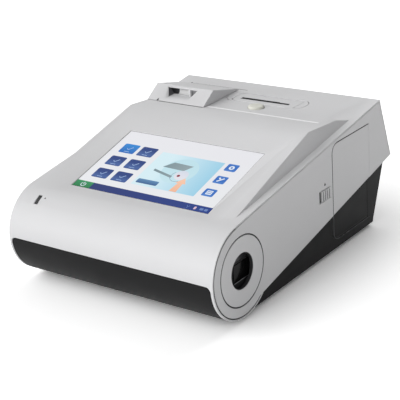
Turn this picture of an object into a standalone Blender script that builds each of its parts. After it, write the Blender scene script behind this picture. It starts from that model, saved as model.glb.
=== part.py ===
"""Desktop blood gas analyzer, modelled as the pieces it comes apart into.

Metres, +Z up. The front is -Y, and the user's right is +X. The origin is on the floor, under the
middle of the case. A place along the case is given as its distance back from the nose axis, and a
height as its distance up from the floor.
"""
import math

import bmesh
import bpy
from mathutils import Matrix, Vector

# Overall size. A place or size across the case that is a share of HALF moves out when WIDTH grows.
LENGTH = 0.317
WIDTH = 0.238
HALF = WIDTH / 2
FOOT_HEIGHT = 0.0034
NOSE_RADIUS = 0.0446

# Walls and fits
WALL = 0.0025
GAP = 0.0003
SEAM = 0.0004
RUNNING_GAP = 0.0003
OVERRUN = 0.004
MERGE = 0.00005

# Side outline
TOP_REAR_BACK = 0.2505
TOP_REAR_UP = 0.1312
REAR_LOW_UP = 0.0667
SPLIT_FRONT_BACK = 0.030
BASE_REAR_TOP_BACK = 0.262
BASE_REAR_LOW_BACK = 0.238
BASE_INSET = 0.003
STRIP_TOP_UP = 0.0496
STRIP_CORNER = 0.005
RIM_WIDE = 0.0026
RIM_THICK = 0.0015
CHEEK_GROOVE = 0.0011
CHEEK_THICK = 0.0022
SKIRT_DEEP = 0.008

# Raised deck and the funnel round the screen
CREST_FRONT_HALF = 0.9328 * HALF
CREST_HALF = 0.8992 * HALF
CREST_FOOT_HALF = 0.9395 * HALF
CREST_BACK = 0.1336
CREST_UP = 0.1312
DECK_FRONT_BACK = 0.1676
DECK_FRONT_UP = 0.1288
DECK_FLAT_HALF = 0.8235 * HALF
SHOULDER_BACK = 0.184
SHOULDER_UP = 0.1278
SHOULDER_END_BACK = 0.200

# Screen
SCREEN_BACK = 0.0067
SCREEN_UP = 0.0913
SCREEN_WIDE = 0.161
SCREEN_LONG = 0.0976
SCREEN_SLOPE = math.radians(15.4)
GLASS_DROP = 0.0005
GLASS_THICK = 0.0018
MODULE_MARGIN = 0.0025
MODULE_THICK = 0.006
FRAME_MARGIN = 0.002
FRAME_THICK = 0.0014
FRAME_LEG = 0.008
FRAME_LEG_IN = 0.014

# Indicator lens on the nose
LENS_X = -0.7941 * HALF
LENS_WIDE = 0.0036
LENS_DEEP = 0.003
LENS_FROM = math.radians(117.3)
LENS_TO = math.radians(129.7)

# Scanner in the right hub
HUB_RADIUS = 0.032
HUB_GROOVE = 0.0012
HUB_FLANGE = 0.0022
HUB_FLANGE_THICK = 0.0015
SCAN_HOLE_RADIUS = 0.01676
SHROUD_RADIUS = 0.0255
SHROUD_WALL = 0.002
SHROUD_DEEP = 0.0063
SHROUD_BACK = 0.0018
SCAN_WINDOW_FROM = -0.004
SCAN_WINDOW_TO = 0.019
SCAN_WINDOW_LOW = 0.035
SCAN_WINDOW_HIGH = 0.052
SCAN_WINDOW_THICK = 0.0014
SCAN_PORT_EDGE = 0.0015
SCAN_UNIT_ROOM = 0.001

# Cartridge port housing, on the deck
PORT_LEFT = -0.895 * HALF
PORT_RIGHT = -0.2857 * HALF
PORT_TOP_BACK = 0.0127
PORT_TALL = 0.0127
PORT_REAR_BACK = 0.0556
PORT_TAIL = 0.0012
PORT_FOOT_FORWARD = 0.006
PORT_FOOT_UP = 0.0009
PORT_SKIRT = 0.007
PORT_SEAT_DEEP = 0.014
PORT_WALL = 0.0022
PORT_FACE_BACK = 0.011
PORT_FLOOR = 0.0032
PORT_MIDDLE = -0.5983 * HALF
PORT_MOUTH_LOW_HALF = 0.1197 * HALF
PORT_MOUTH_TOP_HALF = 0.1697 * HALF
WINDOW_RIGHT = -0.5429 * HALF
SIDE_WINDOW_LEFT = -0.5244 * HALF
SIDE_WINDOW_RIGHT = -0.4496 * HALF
WINDOW_TOP_DROP = 0.0022
PORT_HOLE_MARGIN = 0.006
GUIDE_THICK = 0.004
GUIDE_GAP = 0.0015
GUIDE_NOTCH_LEFT = -0.83 * HALF
GUIDE_NOTCH_RIGHT = -0.6639 * HALF
GUIDE_NOTCH_UP = 0.0014
GUIDE_NOTCH_RADIUS = 0.0065

# Measuring unit under the port
HEATER_WIDE = 0.040
HEATER_LONG = 0.024
HEATER_TALL = 0.014
HEATER_DROP = 0.004
CONTACT_TALL = 0.0035
CONTACT_INSET = 0.006
BRACKET_SHEET = 0.002

# Printer, in the deck
PRINTER_LEFT = -0.2748 * HALF
PRINTER_RIGHT = 0.5017 * HALF
PRINTER_FRONT_BACK = 0.1927
PRINTER_REAR_BACK = 0.2218
PRINTER_CORNER = 0.013
PRINTER_WALL = 0.003
PRINTER_DEEP = 0.042
LID_LEFT = -0.2017 * HALF
LID_RIGHT = 0.4328 * HALF
LID_FRONT_BACK = 0.1939
LID_REAR_BACK = 0.2189
LID_CORNER = 0.008
LID_LEDGE = 0.0026
LID_THICK = 0.0026
LID_ROUND = 0.0025
LID_PIN_RADIUS = 0.0011
LID_PIN_REACH = 0.0018
SLOT_BACK = 0.2042
SLOT_OPEN = 0.0024
SLOT_LONG = 0.4849 * HALF
SLOT_MIDDLE = 0.1109 * HALF
PLATEN_RADIUS = 0.0043
PLATEN_CORE_RADIUS = 0.0016
PLATEN_BACK = 0.0052
PLATEN_DROP = 0.0083
PLATEN_LONG = 0.4874 * HALF
PLATEN_EAR = 0.002
PLATEN_EAR_HALF = 0.0035
PLATEN_SHAFT_REACH = 0.003
HEAD_LONG = 0.008
HEAD_TALL = 0.0032
TEAR_THICK = 0.0005
TEAR_TALL = 0.0042
TEAR_TOOTH = 0.0006
TEAR_TEETH = 24
ROLL_RADIUS = 0.0106
ROLL_CORE_RADIUS = 0.0045
ROLL_LONG = 0.479 * HALF
ROLL_REST = 0.0003

# Release button in the deck
BUTTON_X = 0.1286 * HALF
BUTTON_BACK = 0.1836
BUTTON_WIDE = 0.0172
BUTTON_LONG = 0.0146
BUTTON_PROUD = 0.0026
BUTTON_DEEP = 0.006
BUTTON_FLANGE = 0.0008
BUTTON_FLANGE_THICK = 0.0014
BUTTON_TRAVEL = 0.0015
BUTTON_GUIDE_WALL = 0.0015

# Side door, with its hinge
DOOR_FRONT_BACK = 0.1555
DOOR_TOP_UP = 0.1128
DOOR_LOW_UP = 0.0145
DOOR_CORNER = 0.009
DOOR_GAP = 0.0009
HINGE_BACK = 0.2266
DOOR_PANEL_THICK = 0.0032

# Latch on the right side panel
LATCH_FRONT_BACK = 0.130
LATCH_REAR_BACK = 0.1508
LATCH_LOW_UP = 0.0623
LATCH_HIGH_UP = 0.0743
LATCH_TRAVEL = 0.0042
LATCH_SINK = 0.0002
LATCH_RIB_PITCH = 0.0036
LATCH_RIB_CUT = 0.0014
LATCH_RIB_DEEP = 0.0009
LATCH_RIBS = 4
LATCH_CHAMFER = 0.0010
HOUSING_MARGIN = 0.004
HOUSING_DEEP = 0.0048
HOUSING_SHEET = 0.0014
TONGUE_THICK = 0.0018
TONGUE_HALF = 0.003
TONGUE_SHORT = 0.0006
SPRING_RADIUS = 0.0009
SPRING_WIRE = 0.0004
SPRING_SOLID = 0.0035

# Reagent pack behind the door
BAY_LEFT = 0.5966 * HALF
BAY_RIGHT = 0.9311 * HALF
BAY_FRONT_BACK = 0.159
BAY_REAR_BACK = 0.2205
BAY_LOW_UP = 0.0135
BAY_HIGH_UP = 0.109
BAY_WALL = 0.002
BAY_LEG = 0.008
PACK_GAP = 0.0006
PACK_SHORT = 0.0015
PACK_CORNER = 0.003
PACK_CAP_RADIUS = 0.004
PACK_CAP_LONG = 0.003
CONNECTOR_RADIUS = 0.006
CONNECTOR_LONG = 0.010
CONNECTOR_UP = 0.060
TUBE_RADIUS = 0.0015

# Chassis and what stands on it
CHASSIS_UP = 0.030
CHASSIS_SHEET = 0.0015
CHASSIS_HALF = 0.8235 * HALF
CHASSIS_FRONT_BACK = 0.006
CHASSIS_STEP_BACK = 0.148
CHASSIS_REAR_BACK = 0.228
CHASSIS_RIGHT = 0.5546 * HALF
LEG_RADIUS = 0.004
LEG_IN = 0.008
STANDOFF_RADIUS = 0.003
STANDOFF_TALL = 0.005
BOARD_LEFT = -0.521 * HALF
BOARD_RIGHT = 0.521 * HALF
BOARD_FRONT_BACK = 0.022
BOARD_REAR_BACK = 0.136
BOARD_THICK = 0.0016
BOARD_IN = 0.006
SHIELD_WIDE = 0.034
SHIELD_TALL = 0.0035
SHIELD_BACK = 0.085
POWER_LEFT = -0.1681 * HALF
POWER_RIGHT = 0.4202 * HALF
POWER_FRONT_BACK = 0.145
POWER_REAR_BACK = 0.188
COIL_TALL = 0.012
COIL_WIDE = 0.014
SPEAKER_RADIUS = 0.015
SPEAKER_TALL = 0.008
SPEAKER_X = -0.69 * HALF
SPEAKER_BACK = 0.070
SPEAKER_CONE = 0.010
SPEAKER_CONE_DEEP = 0.003

# Pump
PUMP_X = -0.521 * HALF
PUMP_BACK = 0.165
PUMP_MOTOR_RADIUS = 0.013
PUMP_MOTOR_LONG = 0.026
PUMP_SHAFT_RADIUS = 0.0015
PUMP_SHAFT_LONG = 0.012
PUMP_HEAD_RADIUS = 0.018
PUMP_HEAD_LONG = 0.012
PUMP_HEAD_WALL = 0.003
PUMP_HEAD_FLOOR = 0.0015
PUMP_ROTOR_RADIUS = 0.0125
PUMP_ROTOR_LONG = 0.007
PUMP_ROLLER_RADIUS = 0.0028
PUMP_BEARING_GAP = 0.0002

# Battery, under the chassis
BATTERY_HALF = 0.4202 * HALF
BATTERY_FRONT_BACK = 0.062
BATTERY_REAR_BACK = 0.130
BATTERY_TALL = 0.020
BATTERY_CORNER = 0.004
BATTERY_COVER_THICK = 0.0022
FINGER_WIDE = 0.018
FINGER_LONG = 0.006
FINGER_DEEP = 0.0010

# Sockets and switch in the rear wall of the base
SOCKET_DEEP = 0.012
SOCKET_PROUD = 0.0008
SOCKET_MIDDLE = 0.034
INLET_X = -0.6891 * HALF
INLET_WIDE = 0.014
INLET_TALL = 0.012
INLET_BORE = 0.0035
INLET_PIN = 0.001
SWITCH_X = -0.4202 * HALF
SWITCH_WIDE = 0.013
SWITCH_TALL = 0.019
SWITCH_TILT = math.radians(7)
SWITCH_ROUND = 0.0055
SWITCH_PIN = 0.001
SWITCH_PIN_REACH = 0.0015
SWITCH_CASE_WALL = 0.0018
NETWORK_X = -0.1261 * HALF
NETWORK_WIDE = 0.0165
NETWORK_TALL = 0.0135
USB_X = 0.1681 * HALF
USB_WIDE = 0.0145
USB_TALL = 0.0072
SOCKET_WALL = 0.0014
SOCKET_BORE_DEEP = 0.009
TONGUE_BAR = 0.0022

# Feet and case screws
FOOT_RADIUS = 0.0075
FOOT_X = 0.7899 * HALF
FOOT_FRONT_BACK = 0.012
FOOT_REAR_BACK = 0.222
FOOT_CHAMFER = 0.0008
SCREW_X = 0.4874 * HALF
SCREW_FRONT_BACK = 0.030
SCREW_REAR_BACK = 0.202
SCREW_HEAD_RADIUS = 0.0030
SCREW_HEAD_TALL = 0.0019
SCREW_RADIUS = 0.0015
SCREW_LONG = 0.010
BOSS_RADIUS = 0.0052
BOSS_TALL = 0.008
SCREW_SINK = 0.0020

# Worked out from the sizes above
NOSE_Y = -LENGTH / 2 + NOSE_RADIUS
NOSE_UP = FOOT_HEIGHT + NOSE_RADIUS
REAR_LOW_BACK = LENGTH - NOSE_RADIUS
SCREEN_HALF = SCREEN_WIDE / 2
BASE_HALF = HALF - BASE_INSET
FLOOR_UP = FOOT_HEIGHT + WALL
CHASSIS_TOP = CHASSIS_UP + CHASSIS_SHEET
CHEEK_INNER_X = HALF - CHEEK_THICK
DECK_SLOPE = math.atan2(TOP_REAR_UP - DECK_FRONT_UP, TOP_REAR_BACK - DECK_FRONT_BACK)
REAR_LEAN = math.atan2(REAR_LOW_UP - FOOT_HEIGHT, BASE_REAR_TOP_BACK - BASE_REAR_LOW_BACK)


# Materials

def material(name, colour, roughness, metallic=0.0):
    """A plain shader in the colour of the real piece."""
    made = bpy.data.materials.new(name)
    made.use_nodes = True
    shader = made.node_tree.nodes["Principled BSDF"]
    shader.inputs["Base Color"].default_value = (*colour, 1.0)
    shader.inputs["Roughness"].default_value = roughness
    shader.inputs["Metallic"].default_value = metallic
    return made


# Outlines, as points (back, up)

def ledge_slope():
    """Slope of the straight side edge, which leaves the nose circle as a tangent."""
    rise = TOP_REAR_UP - NOSE_UP
    reach = math.hypot(TOP_REAR_BACK, rise)
    return math.atan2(rise, TOP_REAR_BACK) - math.asin(NOSE_RADIUS / reach)


def ledge_up(back):
    slope = ledge_slope()
    return NOSE_UP + NOSE_RADIUS / math.cos(slope) + back * math.tan(slope)


def split_start():
    """Angle on the nose circle where the line between white and black begins."""
    return -math.acos(SPLIT_FRONT_BACK / NOSE_RADIUS)


def split_up(back):
    """Height of the line between the white side and the black base."""
    front_up = NOSE_UP + NOSE_RADIUS * math.sin(split_start())
    share = (back - SPLIT_FRONT_BACK) / (REAR_LOW_BACK - SPLIT_FRONT_BACK)
    return front_up + share * (REAR_LOW_UP - front_up)


def deck_up(back):
    return DECK_FRONT_UP + (back - DECK_FRONT_BACK) * math.tan(DECK_SLOPE)


def screen_end():
    """Back and up of the screen's top edge."""
    back = SCREEN_BACK + SCREEN_LONG * math.cos(SCREEN_SLOPE)
    return back, SCREEN_UP + SCREEN_LONG * math.sin(SCREEN_SLOPE)


def nose_arc(radius, start, end, steps):
    """Points on a circle about the nose axis, both ends included."""
    points = []
    for step in range(steps + 1):
        angle = start + (end - start) * step / steps
        points.append((radius * math.cos(angle), NOSE_UP + radius * math.sin(angle)))
    return points


def round_trip(radius, steps=26):
    """The nose circle from the split line, under the nose and up its front to the ledge."""
    top = math.pi / 2 + ledge_slope() - 2 * math.pi
    return nose_arc(radius, split_start(), top, steps)


def inset(points, amounts):
    """A closed clockwise outline with each edge moved inward by its own amount."""
    lines = []
    count = len(points)
    for index in range(count):
        start = Vector(points[index])
        end = Vector(points[(index + 1) % count])
        along = (end - start).normalized()
        inward = Vector((along.y, -along.x))
        lines.append((start + inward * amounts[index], along))
    result = []
    for index in range(count):
        before, before_along = lines[index - 1]
        here, here_along = lines[index]
        cross = before_along.x * here_along.y - before_along.y * here_along.x
        apart = here - before
        share = (apart.x * here_along.y - apart.y * here_along.x) / cross
        result.append(tuple(before + before_along * share))
    return result


def case_outline(steps):
    """Side outline of the white case, clockwise from the split line's front end."""
    points = round_trip(NOSE_RADIUS, steps)
    points.append((TOP_REAR_BACK, TOP_REAR_UP))
    points.append((REAR_LOW_BACK, REAR_LOW_UP))
    return points


def cheek_outline(nose_amount, edge_amount):
    """The case outline drawn in, by one amount round the nose and another on the straight edges."""
    points = case_outline(31)
    arc_edges = len(points) - 3
    amounts = [nose_amount] * arc_edges + [edge_amount, edge_amount, 0.0]
    return inset(points, amounts)


def rounded_rectangle(low_a, low_b, high_a, high_b, radius, steps=5):
    """Outline of a rectangle with round corners, counter-clockwise."""
    corners = [(high_a - radius, high_b - radius, 0.0), (low_a + radius, high_b - radius, 0.5),
               (low_a + radius, low_b + radius, 1.0), (high_a - radius, low_b + radius, 1.5)]
    points = []
    for middle_a, middle_b, turn in corners:
        for step in range(steps + 1):
            angle = math.pi * (turn + 0.5 * step / steps)
            points.append((middle_a + radius * math.cos(angle), middle_b + radius * math.sin(angle)))
    return points


# Solids

def prism(outline, low, high, place):
    """A solid with the outline as its two ends; place turns (a, b, level) into a point."""
    solid = bmesh.new()
    ends = []
    for level in (low, high):
        ends.append([solid.verts.new(place(a, b, level)) for a, b in outline])
    solid.faces.new(ends[0])
    solid.faces.new(ends[1])
    count = len(outline)
    for index in range(count):
        after = (index + 1) % count
        solid.faces.new((ends[0][index], ends[0][after], ends[1][after], ends[1][index]))
    bmesh.ops.recalc_face_normals(solid, faces=solid.faces)
    return solid


def case_point(back, up, x):
    """A point of the case from its distances behind the nose axis and above the floor."""
    return Vector((x, NOSE_Y + back, up))


def side_prism(outline, low_x, high_x):
    """An outline of (back, up) points, run from one X to another."""
    return prism(outline, low_x, high_x, case_point)


def plain_point(a, b, level):
    return Vector((a, b, level))


def flat_prism(outline, low, high):
    """An outline of (x, y) points, run from one level to another in its own frame."""
    return prism(outline, low, high, plain_point)


def front_point(x, up, y):
    """A point of an outline drawn as seen from the front, at a place y along it."""
    return Vector((x, y, up))


def tilted_prism(outline, low_x, high_x):
    """An outline of (y, z) points of a tilted frame, run along X."""
    return prism(outline, low_x, high_x, lambda y, z, x: Vector((x, y, z)))


def box(low, high):
    """A rectangular solid between two corners."""
    solid = bmesh.new()
    bmesh.ops.create_cube(solid, size=1.0)
    low = Vector(low)
    high = Vector(high)
    size = high - low
    bmesh.ops.scale(solid, vec=size, verts=solid.verts)
    bmesh.ops.translate(solid, vec=(low + high) / 2, verts=solid.verts)
    return solid


def case_box(x, back, up):
    """A box from its lowest and highest x, back and up."""
    return box((x[0], NOSE_Y + back[0], up[0]), (x[1], NOSE_Y + back[1], up[1]))


def turned(profile, axis, middle, steps=24):
    """A solid of revolution. The profile is (radius, along) points, closed through the axis."""
    solid = bmesh.new()
    rings = []
    for radius, along in profile:
        if radius == 0:
            rings.append([solid.verts.new((0.0, 0.0, along))])
            continue
        ring = []
        for step in range(steps):
            angle = 2 * math.pi * (step + 0.5) / steps
            ring.append(solid.verts.new((radius * math.cos(angle), radius * math.sin(angle), along)))
        rings.append(ring)
    closed = rings[0:1] if len(rings[0]) > 1 else []
    for lower, upper in zip(rings, rings[1:] + closed):
        for step in range(steps):
            after = (step + 1) % steps
            if len(lower) == 1:
                solid.faces.new((lower[0], upper[step], upper[after]))
            elif len(upper) == 1:
                solid.faces.new((lower[step], lower[after], upper[0]))
            else:
                solid.faces.new((lower[step], lower[after], upper[after], upper[step]))
    bmesh.ops.recalc_face_normals(solid, faces=solid.faces)
    turn = {"X": Matrix.Rotation(math.pi / 2, 4, "Y"),
            "Y": Matrix.Rotation(-math.pi / 2, 4, "X"),
            "Z": Matrix.Identity(4)}[axis]
    bmesh.ops.transform(solid, matrix=Matrix.Translation(middle) @ turn, verts=solid.verts)
    return solid


def rod(radius, low, high, axis, middle, steps=24):
    """A plain cylinder from one place on its axis to another."""
    return turned([(0, low), (radius, low), (radius, high), (0, high)], axis, middle, steps)


def tube(outer, inner, low, high, axis, middle, steps=24):
    """A plain ring or tube."""
    return turned([(inner, low), (outer, low), (outer, high), (inner, high)], axis, middle, steps)


# Objects

def add(name, solid, finish, frame=None, origin=None):
    """One named piece. A moving piece gives the point on its joint axis as its origin."""
    if origin is not None:
        bmesh.ops.translate(solid, vec=-Vector(origin), verts=solid.verts)
    mesh = bpy.data.meshes.new(name)
    solid.to_mesh(mesh)
    solid.free()
    mesh.shade_smooth()
    mesh.set_sharp_from_angle(angle=math.radians(32))
    mesh.materials.append(finish)
    piece = bpy.data.objects.new(name, mesh)
    bpy.context.scene.collection.objects.link(piece)
    if frame is not None:
        piece.parent = frame
    if origin is not None:
        piece.location = origin
    return piece


def change(piece, solid, operation, frame=None):
    """Cut a solid out of a piece, or join it on, with a hidden helper object."""
    mesh = bpy.data.meshes.new(piece.name + "_helper")
    solid.to_mesh(mesh)
    solid.free()
    helper = bpy.data.objects.new(piece.name + "_helper", mesh)
    helper.hide_render = True
    helper.display_type = "WIRE"
    bpy.context.scene.collection.objects.link(helper)
    if frame is not None:
        helper.parent = frame
    modifier = piece.modifiers.new(operation.lower(), "BOOLEAN")
    modifier.operation = operation
    modifier.solver = "EXACT"
    modifier.object = helper
    return helper


def cut(piece, solid, frame=None):
    return change(piece, solid, "DIFFERENCE", frame)


def join(piece, solid, frame=None):
    return change(piece, solid, "UNION", frame)


def tilted_frame(name, back, up, turn):
    """An empty whose own Y runs up a sloping face and whose Z stands off it."""
    frame = bpy.data.objects.new(name, None)
    frame.location = case_point(back, up, 0)
    frame.rotation_euler = (turn, 0, 0)
    bpy.context.scene.collection.objects.link(frame)
    return frame


# White case

def crest_half(back):
    """Half width of the raised deck at its edge, which narrows towards the back."""
    share = min(1.0, max(0.0, (back - SCREEN_BACK) / (CREST_BACK - SCREEN_BACK)))
    return CREST_FRONT_HALF + share * (CREST_HALF - CREST_FRONT_HALF)


def crest_up(back):
    front = ledge_up(SCREEN_BACK)
    return front + (back - SCREEN_BACK) / (CREST_BACK - SCREEN_BACK) * (CREST_UP - front)


def hood_sections():
    """Cross sections of the hood's skin from the middle out to the right edge."""
    end_back, end_up = screen_end()
    backs = (SCREEN_BACK, end_back, CREST_BACK, DECK_FRONT_BACK, SHOULDER_BACK, SHOULDER_END_BACK,
             TOP_REAR_BACK)
    deck = [deck_up(back) for back in backs[3:]]
    ledge = [ledge_up(back) for back in backs[:6]] + [TOP_REAR_UP]

    def top(x, ups, places=backs):
        return [(x, back, up) for back, up in zip(places, ups)]

    screen = [SCREEN_UP, end_up, CREST_UP] + deck
    middle = top(0, screen)
    screen_edge = top(SCREEN_HALF, screen)
    share = (DECK_FLAT_HALF - SCREEN_HALF) / (CREST_HALF - SCREEN_HALF)
    front_share = (DECK_FLAT_HALF - SCREEN_HALF) / (CREST_FRONT_HALF - SCREEN_HALF)
    corner_back = end_back + share * (CREST_BACK - end_back)
    corner_up = end_up + share * (CREST_UP - end_up)
    front_up = SCREEN_UP + front_share * (ledge[0] - SCREEN_UP)
    flat = top(DECK_FLAT_HALF, [front_up, corner_up, CREST_UP] + deck,
               (SCREEN_BACK, corner_back) + backs[2:])
    crest = [(crest_half(back), back, crest_up(back)) for back in backs[:3]]
    crest.append((CREST_HALF, DECK_FRONT_BACK, DECK_FRONT_UP))
    crest.append((CREST_HALF, SHOULDER_BACK, SHOULDER_UP))
    crest.append(((CREST_HALF + CREST_FOOT_HALF) / 2, SHOULDER_END_BACK, ledge[5]))
    crest.append((CREST_HALF, TOP_REAR_BACK, TOP_REAR_UP))
    foot = top(CREST_FOOT_HALF, ledge)
    edge = top(HALF, ledge)
    lip_back = BASE_REAR_TOP_BACK + SEAM
    sections = []
    for tops in (middle, screen_edge, flat, crest, foot, edge):
        xs = tops[0][0]
        arc = [(xs, back, up) for back, up in round_trip(NOSE_RADIUS)]
        rear = [(tops[-1][0], REAR_LOW_BACK, REAR_LOW_UP), (tops[-1][0], lip_back, split_up(lip_back))]
        sections.append(arc + tops + rear)
    return sections


def hood_skin():
    """The right half of the hood's outer surface, open at the middle, the edge and below."""
    skin = bmesh.new()
    rows = []
    for section in hood_sections():
        rows.append([skin.verts.new(case_point(back, up, x)) for x, back, up in section])
    for inner, outer in zip(rows, rows[1:]):
        for index in range(len(inner) - 1):
            skin.faces.new((inner[index], outer[index + 1], outer[index]))
            skin.faces.new((inner[index], inner[index + 1], outer[index + 1]))
    bmesh.ops.recalc_face_normals(skin, faces=skin.faces)
    nose = min(skin.faces, key=lambda face: face.calc_center_median().y)
    if nose.normal.y > 0:
        bmesh.ops.reverse_faces(skin, faces=skin.faces)
    return skin


def make_top_cover(white, screen_frame, deck_frame):
    """The white hood: one moulded skin from under the nose to the rear edge."""
    hood = add("top_cover", hood_skin(), white)
    mirror = hood.modifiers.new("mirror", "MIRROR")
    mirror.use_axis = (True, False, False)
    mirror.merge_threshold = MERGE
    wall = hood.modifiers.new("wall", "SOLIDIFY")
    wall.thickness = WALL
    wall.offset = -1
    wall.use_even_offset = True

    low = FOOT_HEIGHT - OVERRUN
    strip = rounded_rectangle(-BASE_HALF - SEAM, low - STRIP_CORNER, BASE_HALF + SEAM, STRIP_TOP_UP + SEAM,
                              STRIP_CORNER)
    front = NOSE_Y - NOSE_RADIUS - OVERRUN
    rear = NOSE_Y + SPLIT_FRONT_BACK + OVERRUN
    cut(hood, prism(strip, front, rear, front_point))

    for side in (-1, 1):
        ends = sorted((side * (CHEEK_INNER_X - GAP), side * (HALF + OVERRUN)))
        cut(hood, side_prism(cheek_outline(RIM_THICK, RIM_THICK), *ends))

    cut(hood, box((-SCREEN_HALF + GAP, GAP, -WALL - OVERRUN),
                  (SCREEN_HALF - GAP, SCREEN_LONG - GAP, OVERRUN)), screen_frame)

    lens = lens_outline(SEAM, NOSE_RADIUS + OVERRUN, NOSE_RADIUS - WALL - OVERRUN)
    cut(hood, side_prism(lens, LENS_X - LENS_WIDE / 2 - SEAM, LENS_X + LENS_WIDE / 2 + SEAM))

    port_left = PORT_LEFT + PORT_HOLE_MARGIN
    port_right = PORT_RIGHT - PORT_HOLE_MARGIN
    cut(hood, box((port_left, PORT_HOLE_MARGIN, -WALL - OVERRUN),
                  (port_right, PORT_REAR_BACK - PORT_HOLE_MARGIN, OVERRUN)), deck_frame)

    cut(hood, flat_prism(printer_outline(SEAM), -WALL - OVERRUN, OVERRUN), deck_frame)
    cut(hood, flat_prism(button_outline(SEAM), -WALL - OVERRUN, OVERRUN), deck_frame)
    return hood


def make_side_panel(side, white):
    """A white cheek: a flat plate let into the hood's edge, with the round hub hole."""
    name = "side_panel_right" if side > 0 else "side_panel_left"
    ends = sorted((side * CHEEK_INNER_X, side * HALF))
    outline = cheek_outline(RIM_THICK + CHEEK_GROOVE, RIM_THICK + GAP)
    panel = add(name, side_prism(outline, *ends), white)
    middle = case_point(0, NOSE_UP, side * HALF)
    cut(panel, rod(HUB_RADIUS + HUB_GROOVE, -OVERRUN - CHEEK_THICK, OVERRUN + CHEEK_THICK, "X", middle, 40))
    if side > 0:
        cut(panel, side_prism(door_outline(DOOR_GAP, GAP), CHEEK_INNER_X - OVERRUN, HALF + OVERRUN))
        cut(panel, case_box((CHEEK_INNER_X - OVERRUN, HALF + OVERRUN), (LATCH_FRONT_BACK, LATCH_REAR_BACK),
                            (LATCH_LOW_UP, LATCH_HIGH_UP)))
    return panel


def make_hub_cap_left(white):
    """A plain round cap with a flange that holds it behind the side panel."""
    face = -HALF
    flange = -CHEEK_INNER_X + GAP
    profile = [(0, face), (HUB_RADIUS, face), (HUB_RADIUS, flange), (HUB_RADIUS + HUB_FLANGE, flange),
               (HUB_RADIUS + HUB_FLANGE, flange + HUB_FLANGE_THICK), (0, flange + HUB_FLANGE_THICK)]
    return add("hub_cap_left", turned(profile, "X", case_point(0, NOSE_UP, 0), 40), white)


def make_hub_ring_right(white):
    """The round ring in the right cheek, with the scanner's opening in its middle."""
    flange = CHEEK_INNER_X - GAP
    back = flange - HUB_FLANGE_THICK
    profile = [(SCAN_HOLE_RADIUS, back), (HUB_RADIUS + HUB_FLANGE, back), (HUB_RADIUS + HUB_FLANGE, flange),
               (HUB_RADIUS, flange), (HUB_RADIUS, HALF), (SCAN_HOLE_RADIUS, HALF)]
    return add("hub_ring_right", turned(profile, "X", case_point(0, NOSE_UP, 0), 40), white)


def make_scanner(black, gloss, dark):
    """The barcode scanner: a shallow black shroud, its window, and the reading unit behind."""
    middle = case_point(0, NOSE_UP, 0)
    mouth = CHEEK_INNER_X - GAP - HUB_FLANGE_THICK - GAP
    back = mouth - SHROUD_DEEP
    inner = SHROUD_RADIUS - SHROUD_WALL
    profile = [(0, back), (SHROUD_RADIUS, back), (SHROUD_RADIUS, mouth), (inner, mouth),
               (inner, back + SHROUD_BACK), (0, back + SHROUD_BACK)]
    shroud = add("scanner_shroud", turned(profile, "X", middle, 32), black)
    cut(shroud, case_box((back - OVERRUN, mouth),
                         (SCAN_WINDOW_FROM + SCAN_PORT_EDGE, SCAN_WINDOW_TO - SCAN_PORT_EDGE),
                         (SCAN_WINDOW_LOW + SCAN_PORT_EDGE, SCAN_WINDOW_HIGH - SCAN_PORT_EDGE)))
    glass_low = back + SHROUD_BACK + GAP
    add("scanner_window", case_box((glass_low, glass_low + SCAN_WINDOW_THICK),
                                   (SCAN_WINDOW_FROM, SCAN_WINDOW_TO),
                                   (SCAN_WINDOW_LOW, SCAN_WINDOW_HIGH)), gloss)
    unit_high = back - GAP
    unit_low = SCREEN_HALF + MODULE_MARGIN + FRAME_MARGIN + SCAN_UNIT_ROOM
    unit = add("scanner_module", case_box((unit_low, unit_high),
                                          (SCAN_WINDOW_FROM, SCAN_WINDOW_TO),
                                          (SCAN_WINDOW_LOW, SCAN_WINDOW_HIGH)), dark)
    lens = case_point((SCAN_WINDOW_FROM + SCAN_WINDOW_TO) / 2, (SCAN_WINDOW_LOW + SCAN_WINDOW_HIGH) / 2, 0)
    cut(unit, rod(SCAN_PORT_EDGE * 3, unit_high - SHROUD_WALL, unit_high + OVERRUN, "X", lens, 20))


def lens_outline(margin, outer, inner):
    """A short stretch of the nose's ring, drawn out by a margin at both ends."""
    extra = margin / NOSE_RADIUS
    low = nose_arc(outer, LENS_FROM - extra, LENS_TO + extra, 4)
    high = nose_arc(inner, LENS_TO + extra, LENS_FROM - extra, 4)
    return low + high


def make_indicator_lens(gloss):
    """The black light window on the nose, flush with its surface."""
    outline = lens_outline(0, NOSE_RADIUS - GAP, NOSE_RADIUS - LENS_DEEP)
    ends = (LENS_X - LENS_WIDE / 2, LENS_X + LENS_WIDE / 2)
    return add("indicator_lens", side_prism(outline, *ends), gloss)


# Screen

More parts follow.
